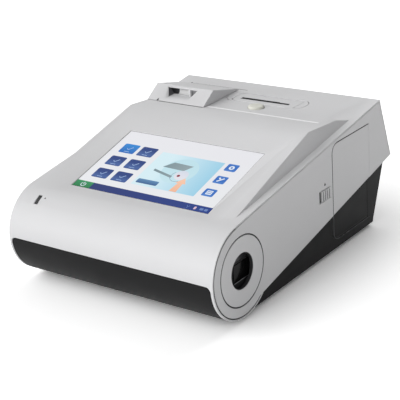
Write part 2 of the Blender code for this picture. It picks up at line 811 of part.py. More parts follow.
def make_screen(frame, glass, dark, steel):
    """The touch glass, the display under it, and the steel frame that stands on the chassis."""
    rim = GAP * 2
    add("touch_glass", box((-SCREEN_HALF + rim, rim, -GLASS_DROP - GLASS_THICK),
                           (SCREEN_HALF - rim, SCREEN_LONG - rim, -GLASS_DROP)), glass, frame)
    top = -GLASS_DROP - GLASS_THICK - GAP - WALL / 2
    join_top = -GLASS_DROP - GLASS_THICK - GAP
    module = add("display_module", box((-SCREEN_HALF - MODULE_MARGIN, -MODULE_MARGIN, top - MODULE_THICK),
                                       (SCREEN_HALF + MODULE_MARGIN, SCREEN_LONG + MODULE_MARGIN, top)),
                 dark, frame)
    join(module, box((-SCREEN_HALF + WALL, WALL, top - MODULE_THICK / 2),
                     (SCREEN_HALF - WALL, SCREEN_LONG - WALL, join_top)), frame)
    back = top - MODULE_THICK - GAP
    margin = MODULE_MARGIN + FRAME_MARGIN
    carrier = add("display_frame", box((-SCREEN_HALF - margin, -margin, back - FRAME_THICK),
                                       (SCREEN_HALF + margin, SCREEN_LONG + margin, back)), steel, frame)
    cut(carrier, box((-SCREEN_HALF / 2, SCREEN_LONG / 4, back - OVERRUN),
                     (SCREEN_HALF / 2, SCREEN_LONG * 3 / 4, back + OVERRUN)), frame)
    for x in (-SCREEN_HALF, SCREEN_HALF - FRAME_LEG):
        for leg_back in (SCREEN_BACK + FRAME_LEG_IN, screen_end()[0] - FRAME_LEG_IN):
            join(carrier, side_prism(leg_outline(leg_back, back - FRAME_THICK / 2), x, x + FRAME_LEG))


def leg_outline(middle, drop):
    """Side view of an upright leg whose top follows the screen's slope."""
    foot = CHASSIS_TOP + GAP
    tops = []
    for back in (middle - FRAME_LEG / 2, middle + FRAME_LEG / 2):
        rise = (back - SCREEN_BACK) * math.tan(SCREEN_SLOPE) + drop / math.cos(SCREEN_SLOPE)
        tops.append((back, SCREEN_UP + rise))
    return [(tops[0][0], foot), tops[0], tops[1], (tops[1][0], foot)]


# Cartridge port on the deck

def port_profile():
    """Side view of the port housing in the deck's frame, before its foot is trimmed to the hood."""
    return [(-PORT_FOOT_FORWARD, -PORT_SKIRT), (-PORT_FOOT_FORWARD, GAP + PORT_FOOT_UP),
            (PORT_TOP_BACK, GAP + PORT_TALL), (PORT_REAR_BACK, GAP + PORT_TAIL),
            (PORT_REAR_BACK, -PORT_SKIRT)]


def port_seat():
    """A solid from a gap above the hood's left half downwards, which trims the port's foot."""
    seat = hood_skin()
    start = case_point(CREST_BACK, 0, 0).y
    steepest = math.cos(math.radians(75))
    spare = [face for face in seat.faces
             if face.normal.z < steepest or face.calc_center_median().y < start]
    bmesh.ops.delete(seat, geom=spare, context="FACES")
    seat.transform(Matrix.Scale(-1, 4, (1, 0, 0)))
    clear = Vector((-GAP / 4, 0, GAP / math.cos(DECK_SLOPE)))
    bmesh.ops.translate(seat, vec=clear, verts=seat.verts)
    deeper = bmesh.ops.extrude_face_region(seat, geom=seat.faces[:])
    low = [item for item in deeper["geom"] if isinstance(item, bmesh.types.BMVert)]
    bmesh.ops.translate(seat, vec=Vector((0, 0, -PORT_SEAT_DEEP)), verts=low)
    bmesh.ops.recalc_face_normals(seat, faces=seat.faces)
    return seat


def make_port_housing(frame, white):
    """The white wedge with a splayed mouth, a window for the cartridge, and a narrow side window."""
    housing = add("port_housing", tilted_prism(port_profile(), PORT_LEFT, PORT_RIGHT), white, frame)
    cut(housing, port_seat())
    face = PORT_FACE_BACK
    slope = (PORT_TALL - PORT_TAIL) / (PORT_REAR_BACK - PORT_TOP_BACK)
    inside_front = face + PORT_WALL
    inside_top = PORT_TALL - PORT_WALL - slope * (inside_front - PORT_TOP_BACK)
    inside_rear = PORT_REAR_BACK - PORT_HOLE_MARGIN
    below = -PORT_SKIRT - OVERRUN
    inside = [(inside_front, below), (inside_front, inside_top),
              (inside_rear, inside_top - slope * (inside_rear - inside_front)), (inside_rear, below)]
    cut(housing, tilted_prism(inside, PORT_LEFT + PORT_WALL, PORT_RIGHT - PORT_WALL), frame)

    high = PORT_TALL + OVERRUN
    flare = (PORT_MOUTH_TOP_HALF - PORT_MOUTH_LOW_HALF) / (PORT_TALL - PORT_FLOOR)
    top_half = PORT_MOUTH_LOW_HALF + flare * (high - PORT_FLOOR)
    left, right = PORT_MIDDLE - PORT_MOUTH_LOW_HALF, PORT_MIDDLE + PORT_MOUTH_LOW_HALF
    mouth = [(left, PORT_FLOOR), (right, PORT_FLOOR),
             (PORT_MIDDLE + top_half, high), (PORT_MIDDLE - top_half, high)]
    cut(housing, prism(mouth, -PORT_FOOT_FORWARD - OVERRUN, face, front_point), frame)

    window_low = PORT_FLOOR + GAP
    window_high = PORT_TALL - WINDOW_TOP_DROP
    left += GAP / 3
    window = [(left - flare * GAP, window_low), (WINDOW_RIGHT, window_low), (WINDOW_RIGHT, window_high),
              (left - flare * (window_high - PORT_FLOOR), window_high)]
    cut(housing, prism(window, face - OVERRUN, inside_front + OVERRUN, front_point), frame)
    cut(housing, box((SIDE_WINDOW_LEFT, face - OVERRUN, window_low),
                     (SIDE_WINDOW_RIGHT, inside_front + OVERRUN, window_high)), frame)
    return housing


def make_port_inside(frame, cream, aluminium, dark, steel):
    """The cartridge guide behind the window, and the warm measuring block that reads it."""
    front = PORT_FACE_BACK + PORT_WALL + GUIDE_GAP
    slope = (PORT_TALL - PORT_TAIL) / (PORT_REAR_BACK - PORT_TOP_BACK)
    high = PORT_TALL - PORT_WALL - slope * (front + GUIDE_THICK - PORT_TOP_BACK) - GAP
    left = PORT_MIDDLE - PORT_MOUTH_TOP_HALF - PORT_WALL
    right = SIDE_WINDOW_RIGHT + PORT_WALL
    guide = add("port_guide", box((left, front, -HEATER_DROP), (right, front + GUIDE_THICK, high)),
                cream, frame)
    notch = rounded_rectangle(GUIDE_NOTCH_LEFT, GUIDE_NOTCH_UP, GUIDE_NOTCH_RIGHT,
                              high + GUIDE_NOTCH_RADIUS * 2, GUIDE_NOTCH_RADIUS, 6)
    cut(guide, prism(notch, front - OVERRUN, front + GUIDE_THICK + OVERRUN, front_point), frame)

    middle = PORT_MIDDLE
    block_back = DECK_FRONT_BACK + front + HEATER_LONG / 2 - GAP * 2
    block_up = deck_up(block_back) - HEATER_DROP - GUIDE_GAP
    add("heater_block", case_box((middle - HEATER_WIDE / 2, middle + HEATER_WIDE / 2),
                                          (block_back - HEATER_LONG / 2, block_back + HEATER_LONG / 2),
                                          (block_up - HEATER_TALL, block_up)), aluminium)
    half = HEATER_WIDE / 2 - CONTACT_INSET
    add("contact_block", case_box((middle - half, middle + half),
                                  (block_back, block_back + HEATER_LONG / 2),
                                  (block_up + GAP, block_up + GAP + CONTACT_TALL)), dark)
    shelf = block_up - HEATER_TALL - GAP
    bracket = add("measuring_bracket",
                  case_box((middle - HEATER_WIDE / 2, middle + HEATER_WIDE / 2),
                           (block_back - HEATER_LONG / 2, block_back + HEATER_LONG / 2),
                           (shelf - BRACKET_SHEET, shelf)), steel)
    for x in (middle - HEATER_WIDE / 2, middle + HEATER_WIDE / 2 - BRACKET_SHEET):
        join(bracket, case_box((x, x + BRACKET_SHEET), (block_back, block_back + HEATER_LONG / 2),
                               (CHASSIS_TOP + GAP, shelf - BRACKET_SHEET / 2)))


# Printer in the deck

def printer_outline(margin):
    """Round-cornered outline of the printer where it comes through the deck, in the deck's frame."""
    return rounded_rectangle(PRINTER_LEFT - margin, PRINTER_FRONT_BACK - DECK_FRONT_BACK - margin,
                             PRINTER_RIGHT + margin, PRINTER_REAR_BACK - DECK_FRONT_BACK + margin,
                             PRINTER_CORNER)


def make_printer_frame(frame, hinge, white):
    """The printer's rim and paper bucket in one piece, with a ledge in front for the lid."""
    bucket = add("printer_frame", flat_prism(printer_outline(0), -PRINTER_DEEP, 0), white, frame)
    left = LID_LEFT - RUNNING_GAP
    right = LID_RIGHT + RUNNING_GAP
    front = LID_FRONT_BACK - DECK_FRONT_BACK
    rear = hinge.y + LID_ROUND + RUNNING_GAP
    cut(bucket, box((left, front + LID_LEDGE, -PRINTER_DEEP + PRINTER_WALL), (right, rear, OVERRUN)), frame)
    pocket = rounded_rectangle(LID_LEFT - SEAM, front - SEAM, LID_RIGHT + SEAM, front + LID_CORNER * 2.5,
                               LID_CORNER + SEAM)
    cut(bucket, flat_prism(pocket, -LID_THICK - GAP, OVERRUN), frame)
    reach = LID_PIN_REACH + RUNNING_GAP
    cut(bucket, rod(LID_PIN_RADIUS + RUNNING_GAP, left - reach, right + reach, "X", hinge, 16), frame)


def make_printer_lid(frame, hinge, platen, white, rubber, steel):
    """The lid with the paper slot in it, on two pins, and the rubber roller it carries."""
    front = LID_FRONT_BACK - DECK_FRONT_BACK
    profile = [(front, -LID_THICK), (front, 0)]
    steps = 6
    for step in range(steps + 1):
        angle = math.pi / 2 - math.pi * step / steps
        profile.append((hinge.y + LID_ROUND * math.cos(angle), hinge.z + LID_ROUND * math.sin(angle)))
    profile.append((hinge.y - LID_ROUND, -LID_THICK))
    lid = add("printer_lid", tilted_prism(profile, LID_LEFT, LID_RIGHT), white, frame, origin=hinge)
    for x, side in ((LID_LEFT, -1), (LID_RIGHT, 1)):
        corner = round_corner(x, side, front)
        cut(lid, flat_prism(corner, -LID_THICK - OVERRUN, OVERRUN), frame)
        ends = sorted((x - side * LID_PIN_REACH, x + side * LID_PIN_REACH))
        join(lid, rod(LID_PIN_RADIUS, *ends, "X", hinge, 16), frame)
    slot = SLOT_BACK - DECK_FRONT_BACK
    cut(lid, box((SLOT_MIDDLE - SLOT_LONG / 2, slot - SLOT_OPEN / 2, -LID_THICK - OVERRUN),
                 (SLOT_MIDDLE + SLOT_LONG / 2, slot + SLOT_OPEN / 2, OVERRUN)), frame)

    half = PLATEN_LONG / 2
    for side in (-1, 1):
        near = platen.x + side * (half + RUNNING_GAP * 2)
        low, high = sorted((near, near + side * PLATEN_EAR))
        front_y = platen.y - PLATEN_EAR_HALF
        rear_y = platen.y + PLATEN_EAR_HALF
        foot = platen.z - PLATEN_EAR_HALF
        ear = [(front_y, -LID_THICK / 2), (front_y, foot), (rear_y, foot), (rear_y, -LID_THICK / 2)]
        join(lid, tilted_prism(ear, low, high), frame)
        bore = Vector((0, platen.y, platen.z))
        cut(lid, rod(PLATEN_CORE_RADIUS + RUNNING_GAP, low - GAP, high + GAP, "X", bore, 16), frame)
    add("platen_roller", tube(PLATEN_RADIUS, PLATEN_CORE_RADIUS + GAP, -half, half, "X", platen, 24), rubber,
        frame, origin=platen)
    long = half + PLATEN_SHAFT_REACH
    add("platen_shaft", rod(PLATEN_CORE_RADIUS, -long, long, "X", platen, 16), steel, frame, origin=platen)


def round_corner(x, side, front):
    """What lies outside a round front corner of the printer lid."""
    middle_x = x - side * LID_CORNER
    middle_y = front + LID_CORNER
    outside = x + side * OVERRUN
    points = [(outside, middle_y), (outside, front - OVERRUN), (middle_x, front - OVERRUN)]
    steps = 6
    for step in range(steps + 1):
        angle = math.pi / 2 * (1 - step / steps)
        points.append((middle_x + side * LID_CORNER * math.cos(angle),
                       middle_y - LID_CORNER * math.sin(angle)))
    return points


def make_printer(frame, white, rubber, steel, dark, paper):
    """A clamshell slip printer: bucket and rim, lid with the roller, print head, blade and paper."""
    hinge = Vector((0, LID_REAR_BACK - DECK_FRONT_BACK - LID_ROUND, -LID_ROUND))
    slot = SLOT_BACK - DECK_FRONT_BACK
    platen = Vector((SLOT_MIDDLE, slot + PLATEN_BACK, -PLATEN_DROP))
    make_printer_frame(frame, hinge, white)
    make_printer_lid(frame, hinge, platen, white, rubber, steel)

    half = PLATEN_LONG / 2
    front = LID_FRONT_BACK - DECK_FRONT_BACK + LID_LEDGE
    head_high = platen.z - PLATEN_RADIUS - GAP
    head = add("print_head", box((platen.x - half, platen.y - HEAD_LONG, head_high - HEAD_TALL),
                                 (platen.x + half, platen.y + GAP, head_high)), dark, frame)
    join(head, box((platen.x - half, front + GAP, head_high - HEAD_TALL),
                   (platen.x + half, platen.y - HEAD_LONG / 2, head_high - HEAD_TALL / 2)), frame)
    add("tear_bar", tear_bar(platen.x, slot), steel, frame)

    rear = hinge.y + LID_ROUND + RUNNING_GAP
    roll = Vector((SLOT_MIDDLE, (front + rear) / 2, -PRINTER_DEEP + PRINTER_WALL + ROLL_REST + ROLL_RADIUS))
    add("paper_roll",
        tube(ROLL_RADIUS, ROLL_CORE_RADIUS, -ROLL_LONG / 2, ROLL_LONG / 2, "X", roll, 28), paper,
        frame, origin=roll)


def tear_bar(middle, slot):
    """A thin steel strip with a row of teeth, along the front of the slot."""
    half = SLOT_LONG / 2 - GAP
    points = [(middle - half, -TEAR_TALL), (middle + half, -TEAR_TALL), (middle + half, -TEAR_TOOTH)]
    pitch = 2 * half / TEAR_TEETH
    for tooth in range(TEAR_TEETH):
        points.append((middle + half - pitch * (tooth + 0.5), -GAP / 2))
        points.append((middle + half - pitch * (tooth + 1), -TEAR_TOOTH))
    low = slot - SLOT_OPEN / 2 + GAP
    return prism(points, low, low + TEAR_THICK, front_point)


def button_outline(margin, steps=24):
    """The oval of the release button, in the deck's frame."""
    middle = BUTTON_BACK - DECK_FRONT_BACK
    points = []
    for step in range(steps):
        angle = 2 * math.pi * step / steps
        points.append((BUTTON_X + (BUTTON_WIDE / 2 + margin) * math.cos(angle),
                       middle + (BUTTON_LONG / 2 + margin) * math.sin(angle)))
    return points


def make_release_button(frame, cream, white):
    """The cream oval button that frees the lid, domed, with a flange under the deck."""
    levels = ((-BUTTON_DEEP, BUTTON_FLANGE), (-BUTTON_DEEP + BUTTON_FLANGE_THICK, BUTTON_FLANGE),
              (-BUTTON_DEEP + BUTTON_FLANGE_THICK, 0), (BUTTON_PROUD * 0.35, 0),
              (BUTTON_PROUD * 0.8, -BUTTON_PROUD * 0.35), (BUTTON_PROUD, -BUTTON_PROUD * 1.1))
    solid = bmesh.new()
    rows = []
    for level, margin in levels:
        rows.append([solid.verts.new((x, y, level)) for x, y in button_outline(margin)])
    for lower, upper in zip(rows, rows[1:]):
        for index in range(len(lower)):
            after = (index + 1) % len(lower)
            solid.faces.new((lower[index], lower[after], upper[after], upper[index]))
    solid.faces.new(rows[0])
    solid.faces.new(rows[-1])
    bmesh.ops.recalc_face_normals(solid, faces=solid.faces)
    middle = Vector((BUTTON_X, BUTTON_BACK - DECK_FRONT_BACK, 0))
    add("release_button", solid, cream, frame, origin=middle)

    outer = button_outline(BUTTON_FLANGE + RUNNING_GAP + BUTTON_GUIDE_WALL)
    top = -WALL - GAP
    low = -BUTTON_DEEP - BUTTON_TRAVEL - RUNNING_GAP - BUTTON_GUIDE_WALL
    guide = add("button_guide", flat_prism(outer, low, top), white, frame)
    well = flat_prism(button_outline(BUTTON_FLANGE + RUNNING_GAP), low + BUTTON_GUIDE_WALL, OVERRUN)
    cut(guide, well, frame)
    limit = PRINTER_FRONT_BACK - DECK_FRONT_BACK - GAP
    cut(guide, box((BUTTON_X - BUTTON_WIDE, limit, low - OVERRUN),
                   (BUTTON_X + BUTTON_WIDE, limit + OVERRUN, OVERRUN)),
        frame)


# Black base

def base_outline():
    """Side outline of the black tray, clockwise from the front strip's top edge."""
    start = math.pi - math.asin((STRIP_TOP_UP - NOSE_UP) / NOSE_RADIUS)
    bottom = math.pi * 1.5
    steps = 12
    outer = nose_arc(NOSE_RADIUS, start, bottom, steps)
    rear_up = split_up(BASE_REAR_TOP_BACK) - SEAM
    tail = [(BASE_REAR_LOW_BACK, FOOT_HEIGHT), (BASE_REAR_TOP_BACK, rear_up),
            (SPLIT_FRONT_BACK, split_up(SPLIT_FRONT_BACK) - SEAM)]
    inner = nose_arc(NOSE_RADIUS - SKIRT_DEEP, 2 * math.pi + split_start(), start, steps)
    return outer + tail + inner


def strip_corner(side):
    """What lies outside the round top corner of the front strip."""
    outer = side * (BASE_HALF + OVERRUN)
    middle = side * (BASE_HALF - STRIP_CORNER)
    middle_up = STRIP_TOP_UP - STRIP_CORNER
    points = [(outer, middle_up), (outer, STRIP_TOP_UP + OVERRUN), (middle, STRIP_TOP_UP + OVERRUN)]
    steps = 5
    for step in range(steps + 1):
        angle = math.pi / 2 * (1 - step / steps)
        points.append((middle + side * STRIP_CORNER * math.cos(angle),
                       middle_up + STRIP_CORNER * math.sin(angle)))
    return points


def base_hollow():
    """Side outline of the room inside the tray, open above."""
    start = math.pi - math.asin((STRIP_TOP_UP - NOSE_UP) / NOSE_RADIUS) - math.radians(4)
    outer = nose_arc(NOSE_RADIUS - WALL, start, math.pi * 1.5, 12)
    lean = WALL / math.sin(REAR_LEAN)
    rise = FLOOR_UP - FOOT_HEIGHT
    low_back = BASE_REAR_LOW_BACK - lean + rise / math.tan(REAR_LEAN)
    high_back = BASE_REAR_TOP_BACK - lean
    high_up = split_up(BASE_REAR_TOP_BACK) + (BASE_REAR_TOP_BACK - high_back)
    tail = [(low_back, FLOOR_UP), (high_back + WALL / math.tan(REAR_LEAN), high_up + WALL),
            (0, REAR_LOW_UP + WALL)]
    return outer + tail


def make_base_tray(black, rear_frame):
    """The black tray: front strip, floor, side walls and leaning rear wall in one moulding."""
    tray = add("base_tray", side_prism(base_outline(), -BASE_HALF, BASE_HALF), black)
    cut(tray, side_prism(base_hollow(), -BASE_HALF + WALL, BASE_HALF - WALL))
    front = NOSE_Y - NOSE_RADIUS - OVERRUN
    for side in (-1, 1):
        cut(tray, prism(strip_corner(side), front, NOSE_Y, front_point))
    for side in (-1, 1):
        ends = sorted((side * (BASE_HALF - WALL - OVERRUN), side * (BASE_HALF + OVERRUN)))
        cut(tray, rod(SHROUD_RADIUS + HUB_FLANGE * 3, *ends, "X", case_point(0, NOSE_UP, 0), 40))
        inside = sorted((side * (BASE_HALF - WALL - GAP), side * (BASE_HALF - SKIRT_DEEP / 2)))
        join(tray, case_box(inside, (SPLIT_FRONT_BACK, SPLIT_FRONT_BACK + SKIRT_DEEP),
                            (FLOOR_UP - GAP, split_up(SPLIT_FRONT_BACK) - SEAM)))

    cut(tray, side_prism(door_outline(DOOR_GAP, GAP), BASE_HALF - WALL - OVERRUN, BASE_HALF + OVERRUN))

    cut(tray, case_box((-BATTERY_HALF - SEAM, BATTERY_HALF + SEAM),
                       (BATTERY_FRONT_BACK - SEAM, BATTERY_REAR_BACK + SEAM),
                       (FOOT_HEIGHT - OVERRUN, FLOOR_UP + OVERRUN)))
    for name, x, wide, tall in rear_openings():
        cut(tray, box((x - wide / 2 - GAP, SOCKET_MIDDLE - tall / 2 - GAP, -OVERRUN),
                      (x + wide / 2 + GAP, SOCKET_MIDDLE + tall / 2 + GAP, WALL + OVERRUN)), rear_frame)
    for x, back in screw_places():
        middle = case_point(back, 0, x)
        join(tray, rod(BOSS_RADIUS, FLOOR_UP - GAP, FLOOR_UP + BOSS_TALL, "Z", middle, 20))
        cut(tray, rod(SCREW_RADIUS + GAP, FOOT_HEIGHT - OVERRUN, FLOOR_UP + BOSS_TALL + OVERRUN,
                      "Z", middle, 16))
        cut(tray, rod(SCREW_HEAD_RADIUS + GAP, FOOT_HEIGHT - OVERRUN,
                      FOOT_HEIGHT + SCREW_SINK + SCREW_HEAD_TALL + GAP, "Z", middle, 20))
    return tray


def rear_openings():
    """Name, middle, width and height of each opening in the rear wall."""
    return (("power_inlet", INLET_X, INLET_WIDE, INLET_TALL),
            ("power_switch_case", SWITCH_X, SWITCH_WIDE + SWITCH_CASE_WALL * 2,
             SWITCH_TALL + SWITCH_CASE_WALL * 2),
            ("network_socket", NETWORK_X, NETWORK_WIDE, NETWORK_TALL),
            ("usb_socket", USB_X, USB_WIDE, USB_TALL))


def make_rear_sockets(frame, dark, steel, gloss):
    """Inlet, switch and sockets, each pushed through its opening in the leaning rear wall."""
    low = -SOCKET_PROUD
    shells = {}
    for name, x, wide, tall in rear_openings():
        finish = steel if name in ("network_socket", "usb_socket") else dark
        shells[name] = add(name, box((x - wide / 2, SOCKET_MIDDLE - tall / 2, low),
                                     (x + wide / 2, SOCKET_MIDDLE + tall / 2, SOCKET_DEEP)), finish, frame)
    inlet_middle = Vector((INLET_X, SOCKET_MIDDLE, 0))
    bore = low + SOCKET_BORE_DEEP
    cut(shells["power_inlet"], tube(INLET_BORE, INLET_PIN, low - OVERRUN, bore, "Z", inlet_middle, 20), frame)
    for name, x, wide, tall in rear_openings():
        if name not in ("network_socket", "usb_socket"):
            continue
        half_wide = wide / 2 - SOCKET_WALL
        half_tall = tall / 2 - SOCKET_WALL
        cut(shells[name], box((x - half_wide, SOCKET_MIDDLE - half_tall, low - OVERRUN),
                              (x + half_wide, SOCKET_MIDDLE + half_tall, bore)), frame)
    half = USB_WIDE / 2 - SOCKET_WALL * 2
    join(shells["usb_socket"], box((USB_X - half, SOCKET_MIDDLE - TONGUE_BAR / 2, low + SOCKET_WALL),
                                   (USB_X + half, SOCKET_MIDDLE + TONGUE_BAR / 2, bore + SOCKET_WALL)),
         frame)

    case = shells["power_switch_case"]
    cut(case, box((SWITCH_X - SWITCH_WIDE / 2, SOCKET_MIDDLE - SWITCH_TALL / 2, low - OVERRUN),
                  (SWITCH_X + SWITCH_WIDE / 2, SOCKET_MIDDLE + SWITCH_TALL / 2,
                   SOCKET_DEEP - SWITCH_CASE_WALL)), frame)
    pivot = Vector((SWITCH_X, SOCKET_MIDDLE, low + SWITCH_ROUND))
    reach = SWITCH_PIN_REACH
    side = SWITCH_WIDE / 2
    cut(case, rod(SWITCH_PIN + RUNNING_GAP, -side - reach, side + reach, "X", pivot, 16), frame)

    half = SWITCH_TALL / 2 - RUNNING_GAP * 2
    dip = half * math.tan(SWITCH_TILT) - SWITCH_ROUND
    outline = [(half, 0), (half * 0.9, dip), (0, GAP - SWITCH_ROUND), (-half * 0.9, dip), (-half, 0)]
    turn = Matrix.Translation(pivot) @ Matrix.Rotation(SWITCH_TILT, 4, "X")
    rocker = prism(outline, RUNNING_GAP - side, side - RUNNING_GAP, lambda y, z, x: turn @ Vector((x, y, z)))
    switch = add("power_switch", rocker, gloss, frame, origin=pivot)
    pin_end = side + reach - RUNNING_GAP
    join(switch, rod(SWITCH_PIN, -pin_end, pin_end, "X", pivot, 16), frame)


# Door and latch

def door_outline(room, hinge_room):
    """The door's side view with round front corners, with room left round it and behind its hinge line."""
    rear = HINGE_BACK + hinge_room
    front = DOOR_FRONT_BACK - room
    low = DOOR_LOW_UP - room
    high = DOOR_TOP_UP + room
    radius = DOOR_CORNER + room
    steps = 6
    points = [(rear, high), (rear, low)]
    for middle_up, turn in ((low + radius, 1.5), (high - radius, 1.0)):
        for step in range(steps + 1):
            angle = math.pi * (turn - 0.5 * step / steps)
            points.append((front + radius + radius * math.cos(angle), middle_up + radius * math.sin(angle)))
    return points


def above_split(points_from, low_x, high_x):
    """A solid that fills everything above the line between white and black."""
    far = LENGTH
    outline = [(-far, split_up(-far) + points_from), (-far, far), (far, far),
               (far, split_up(far) + points_from)]
    return side_prism(outline, low_x, high_x)


def make_door(white, black):
    """The two-tone door, a black panel with a white skin above, hinged on its outer rear edge."""
    origin = case_point(HINGE_BACK, DOOR_LOW_UP, HALF)
    outline = door_outline(0, 0)
    add("door_panel", side_prism(outline, BASE_HALF - DOOR_PANEL_THICK, BASE_HALF), black, origin=origin)
    skin = add("door_skin", side_prism(outline, BASE_HALF + GAP, HALF), white, origin=origin)
    limit = change(skin, above_split(SEAM, 0, HALF + OVERRUN), "INTERSECT")
    limit.name = "door_skin_limit"


def make_latch(white, dark, steel):
    """The ribbed thumb slide on its plate, the channel it runs in, and the spring that shuts it."""
    low_up = LATCH_LOW_UP + GAP
    high_up = LATCH_HIGH_UP - LATCH_CHAMFER
    front = LATCH_FRONT_BACK + LATCH_TRAVEL + GAP
    rear = LATCH_REAR_BACK - GAP
    face = HALF - LATCH_SINK
    channel_face = CHEEK_INNER_X - GAP
    plate_low = channel_face - TONGUE_THICK
    plate_front = LATCH_FRONT_BACK - GAP
    channel_front = plate_front - LATCH_TRAVEL - SPRING_SOLID
    middle_up = (LATCH_LOW_UP + LATCH_HIGH_UP) / 2
    origin = case_point(front, middle_up, face)
    slider = add("latch_slider", case_box((plate_low, face), (front, rear), (low_up, high_up)), white,
                 origin=origin)
    for rib in range(LATCH_RIBS):
        back = front + LATCH_RIB_PITCH * (rib + 0.75)
        cut(slider, case_box((face - LATCH_RIB_DEEP, face + OVERRUN), (back, back + LATCH_RIB_CUT),
                             (low_up - OVERRUN, high_up - LATCH_CHAMFER)))
    chamfer = [(face - LATCH_CHAMFER, high_up + GAP), (face + GAP, high_up + GAP),
               (face + GAP, high_up - LATCH_CHAMFER)]
    cut(slider, prism(chamfer, NOSE_Y + front - OVERRUN, NOSE_Y + rear + OVERRUN, front_point))
    join(slider, case_box((plate_low, channel_face - GAP), (plate_front, front + TONGUE_THICK),
                          (low_up + GAP, high_up - GAP)))
    join(slider, case_box((plate_low, channel_face),
                          (rear - TONGUE_THICK, DOOR_FRONT_BACK - DOOR_GAP - TONGUE_SHORT),
                          (middle_up - TONGUE_HALF, middle_up + TONGUE_HALF)))

    deep = channel_face - HOUSING_DEEP
    housing = add("latch_housing",
                  case_box((deep, channel_face),
                           (channel_front - HOUSING_SHEET, LATCH_REAR_BACK + HOUSING_MARGIN / 2),
                           (LATCH_LOW_UP - HOUSING_MARGIN, LATCH_HIGH_UP + HOUSING_MARGIN)), dark)
    cut(housing, case_box((plate_low - RUNNING_GAP, channel_face + OVERRUN),
                          (channel_front, LATCH_REAR_BACK + OVERRUN), (LATCH_LOW_UP, LATCH_HIGH_UP)))
    middle = Vector((plate_low + TONGUE_THICK / 2, 0, middle_up))
    add("latch_spring", tube(SPRING_RADIUS, SPRING_RADIUS - SPRING_WIRE, NOSE_Y + channel_front + GAP,
                             NOSE_Y + plate_front - GAP, "Y", middle, 12), steel)


# Reagent pack and its bay

def make_pack_bay(white, blue, cream):
    """The bay behind the door, the reagent pack in it, and the fluid connector behind the pack."""
    bay = add("pack_bay", case_box((BAY_LEFT, BAY_RIGHT), (BAY_FRONT_BACK, BAY_REAR_BACK),
                                   (BAY_LOW_UP, BAY_HIGH_UP)), white)
    cut(bay, case_box((BAY_LEFT + BAY_WALL, BAY_RIGHT + OVERRUN),
                      (BAY_FRONT_BACK + BAY_WALL, BAY_REAR_BACK - BAY_WALL),
                      (BAY_LOW_UP + BAY_WALL, BAY_HIGH_UP - BAY_WALL)))
    for x in (BAY_LEFT, BAY_RIGHT - BAY_LEG):
        for back in (BAY_FRONT_BACK, BAY_REAR_BACK - BAY_LEG):
            join(bay, case_box((x, x + BAY_LEG), (back, back + BAY_LEG), (FLOOR_UP + GAP, BAY_LOW_UP + GAP)))
    middle_back = (BAY_FRONT_BACK + BAY_REAR_BACK) / 2
    socket = case_point(middle_back, CONNECTOR_UP, 0)
    cut(bay, rod(CONNECTOR_RADIUS / 2 + GAP, BAY_LEFT - OVERRUN, BAY_LEFT + BAY_WALL + OVERRUN,
                 "X", socket, 20))

    pack_low = BAY_LEFT + BAY_WALL + PACK_CAP_LONG + GAP
    outline = rounded_rectangle(BAY_FRONT_BACK + BAY_WALL + PACK_GAP, BAY_LOW_UP + BAY_WALL + GAP,
                                BAY_REAR_BACK - BAY_WALL - PACK_GAP, BAY_HIGH_UP - BAY_WALL - PACK_GAP,
                                PACK_CORNER, 3)
    pack = add("calibrant_pack", side_prism(outline, pack_low, BAY_RIGHT - PACK_SHORT), blue)
    join(pack, rod(PACK_CAP_RADIUS, BAY_LEFT + BAY_WALL + GAP, pack_low + GAP, "X", socket, 20))

    flange = BAY_LEFT - GAP
    profile = [(TUBE_RADIUS, flange - CONNECTOR_LONG), (CONNECTOR_RADIUS / 2, flange - CONNECTOR_LONG),
               (CONNECTOR_RADIUS / 2, flange - BAY_WALL), (CONNECTOR_RADIUS, flange - BAY_WALL),
               (CONNECTOR_RADIUS, flange), (CONNECTOR_RADIUS / 2, flange),
               (CONNECTOR_RADIUS / 2, BAY_LEFT + BAY_WALL), (TUBE_RADIUS, BAY_LEFT + BAY_WALL)]
    add("fluid_connector", turned(profile, "X", socket, 20), cream)


# Chassis, boards and pump

def make_chassis(aluminium):
    """The bent sheet that carries the boards, the pump and the display frame."""
    outline = [(-CHASSIS_HALF, CHASSIS_FRONT_BACK), (CHASSIS_HALF, CHASSIS_FRONT_BACK),
               (CHASSIS_HALF, CHASSIS_STEP_BACK), (CHASSIS_RIGHT, CHASSIS_STEP_BACK),
               (CHASSIS_RIGHT, CHASSIS_REAR_BACK), (-CHASSIS_HALF, CHASSIS_REAR_BACK)]
    chassis = add("chassis",
                  prism(outline, CHASSIS_UP, CHASSIS_TOP, lambda x, back, up: case_point(back, up, x)),
                  aluminium)
    for x, back in screw_places():
        middle = case_point(back, 0, x)
        foot = FLOOR_UP + BOSS_TALL + GAP
        join(chassis, rod(LEG_RADIUS, foot, CHASSIS_UP + GAP, "Z", middle, 16))
        cut(chassis, rod(SCREW_RADIUS + GAP, foot - GAP, foot + SCREW_LONG, "Z", middle, 12))
    for side in (-1, 1):
        middle = case_point(CHASSIS_STEP_BACK - LEG_IN, 0, side * (CHASSIS_HALF - LEG_IN))
        join(chassis, rod(LEG_RADIUS, FLOOR_UP + GAP, CHASSIS_UP + GAP, "Z", middle, 16))
    for x, back in standoff_places(BOARD_LEFT, BOARD_RIGHT, BOARD_FRONT_BACK, BOARD_REAR_BACK):
        join(chassis, rod(STANDOFF_RADIUS, CHASSIS_TOP - GAP, CHASSIS_TOP + STANDOFF_TALL, "Z",
                          case_point(back, 0, x), 12))
    for x, back in standoff_places(POWER_LEFT, POWER_RIGHT, POWER_FRONT_BACK, POWER_REAR_BACK):
        join(chassis, rod(STANDOFF_RADIUS, CHASSIS_TOP - GAP, CHASSIS_TOP + STANDOFF_TALL, "Z",
                          case_point(back, 0, x), 12))
    return chassis


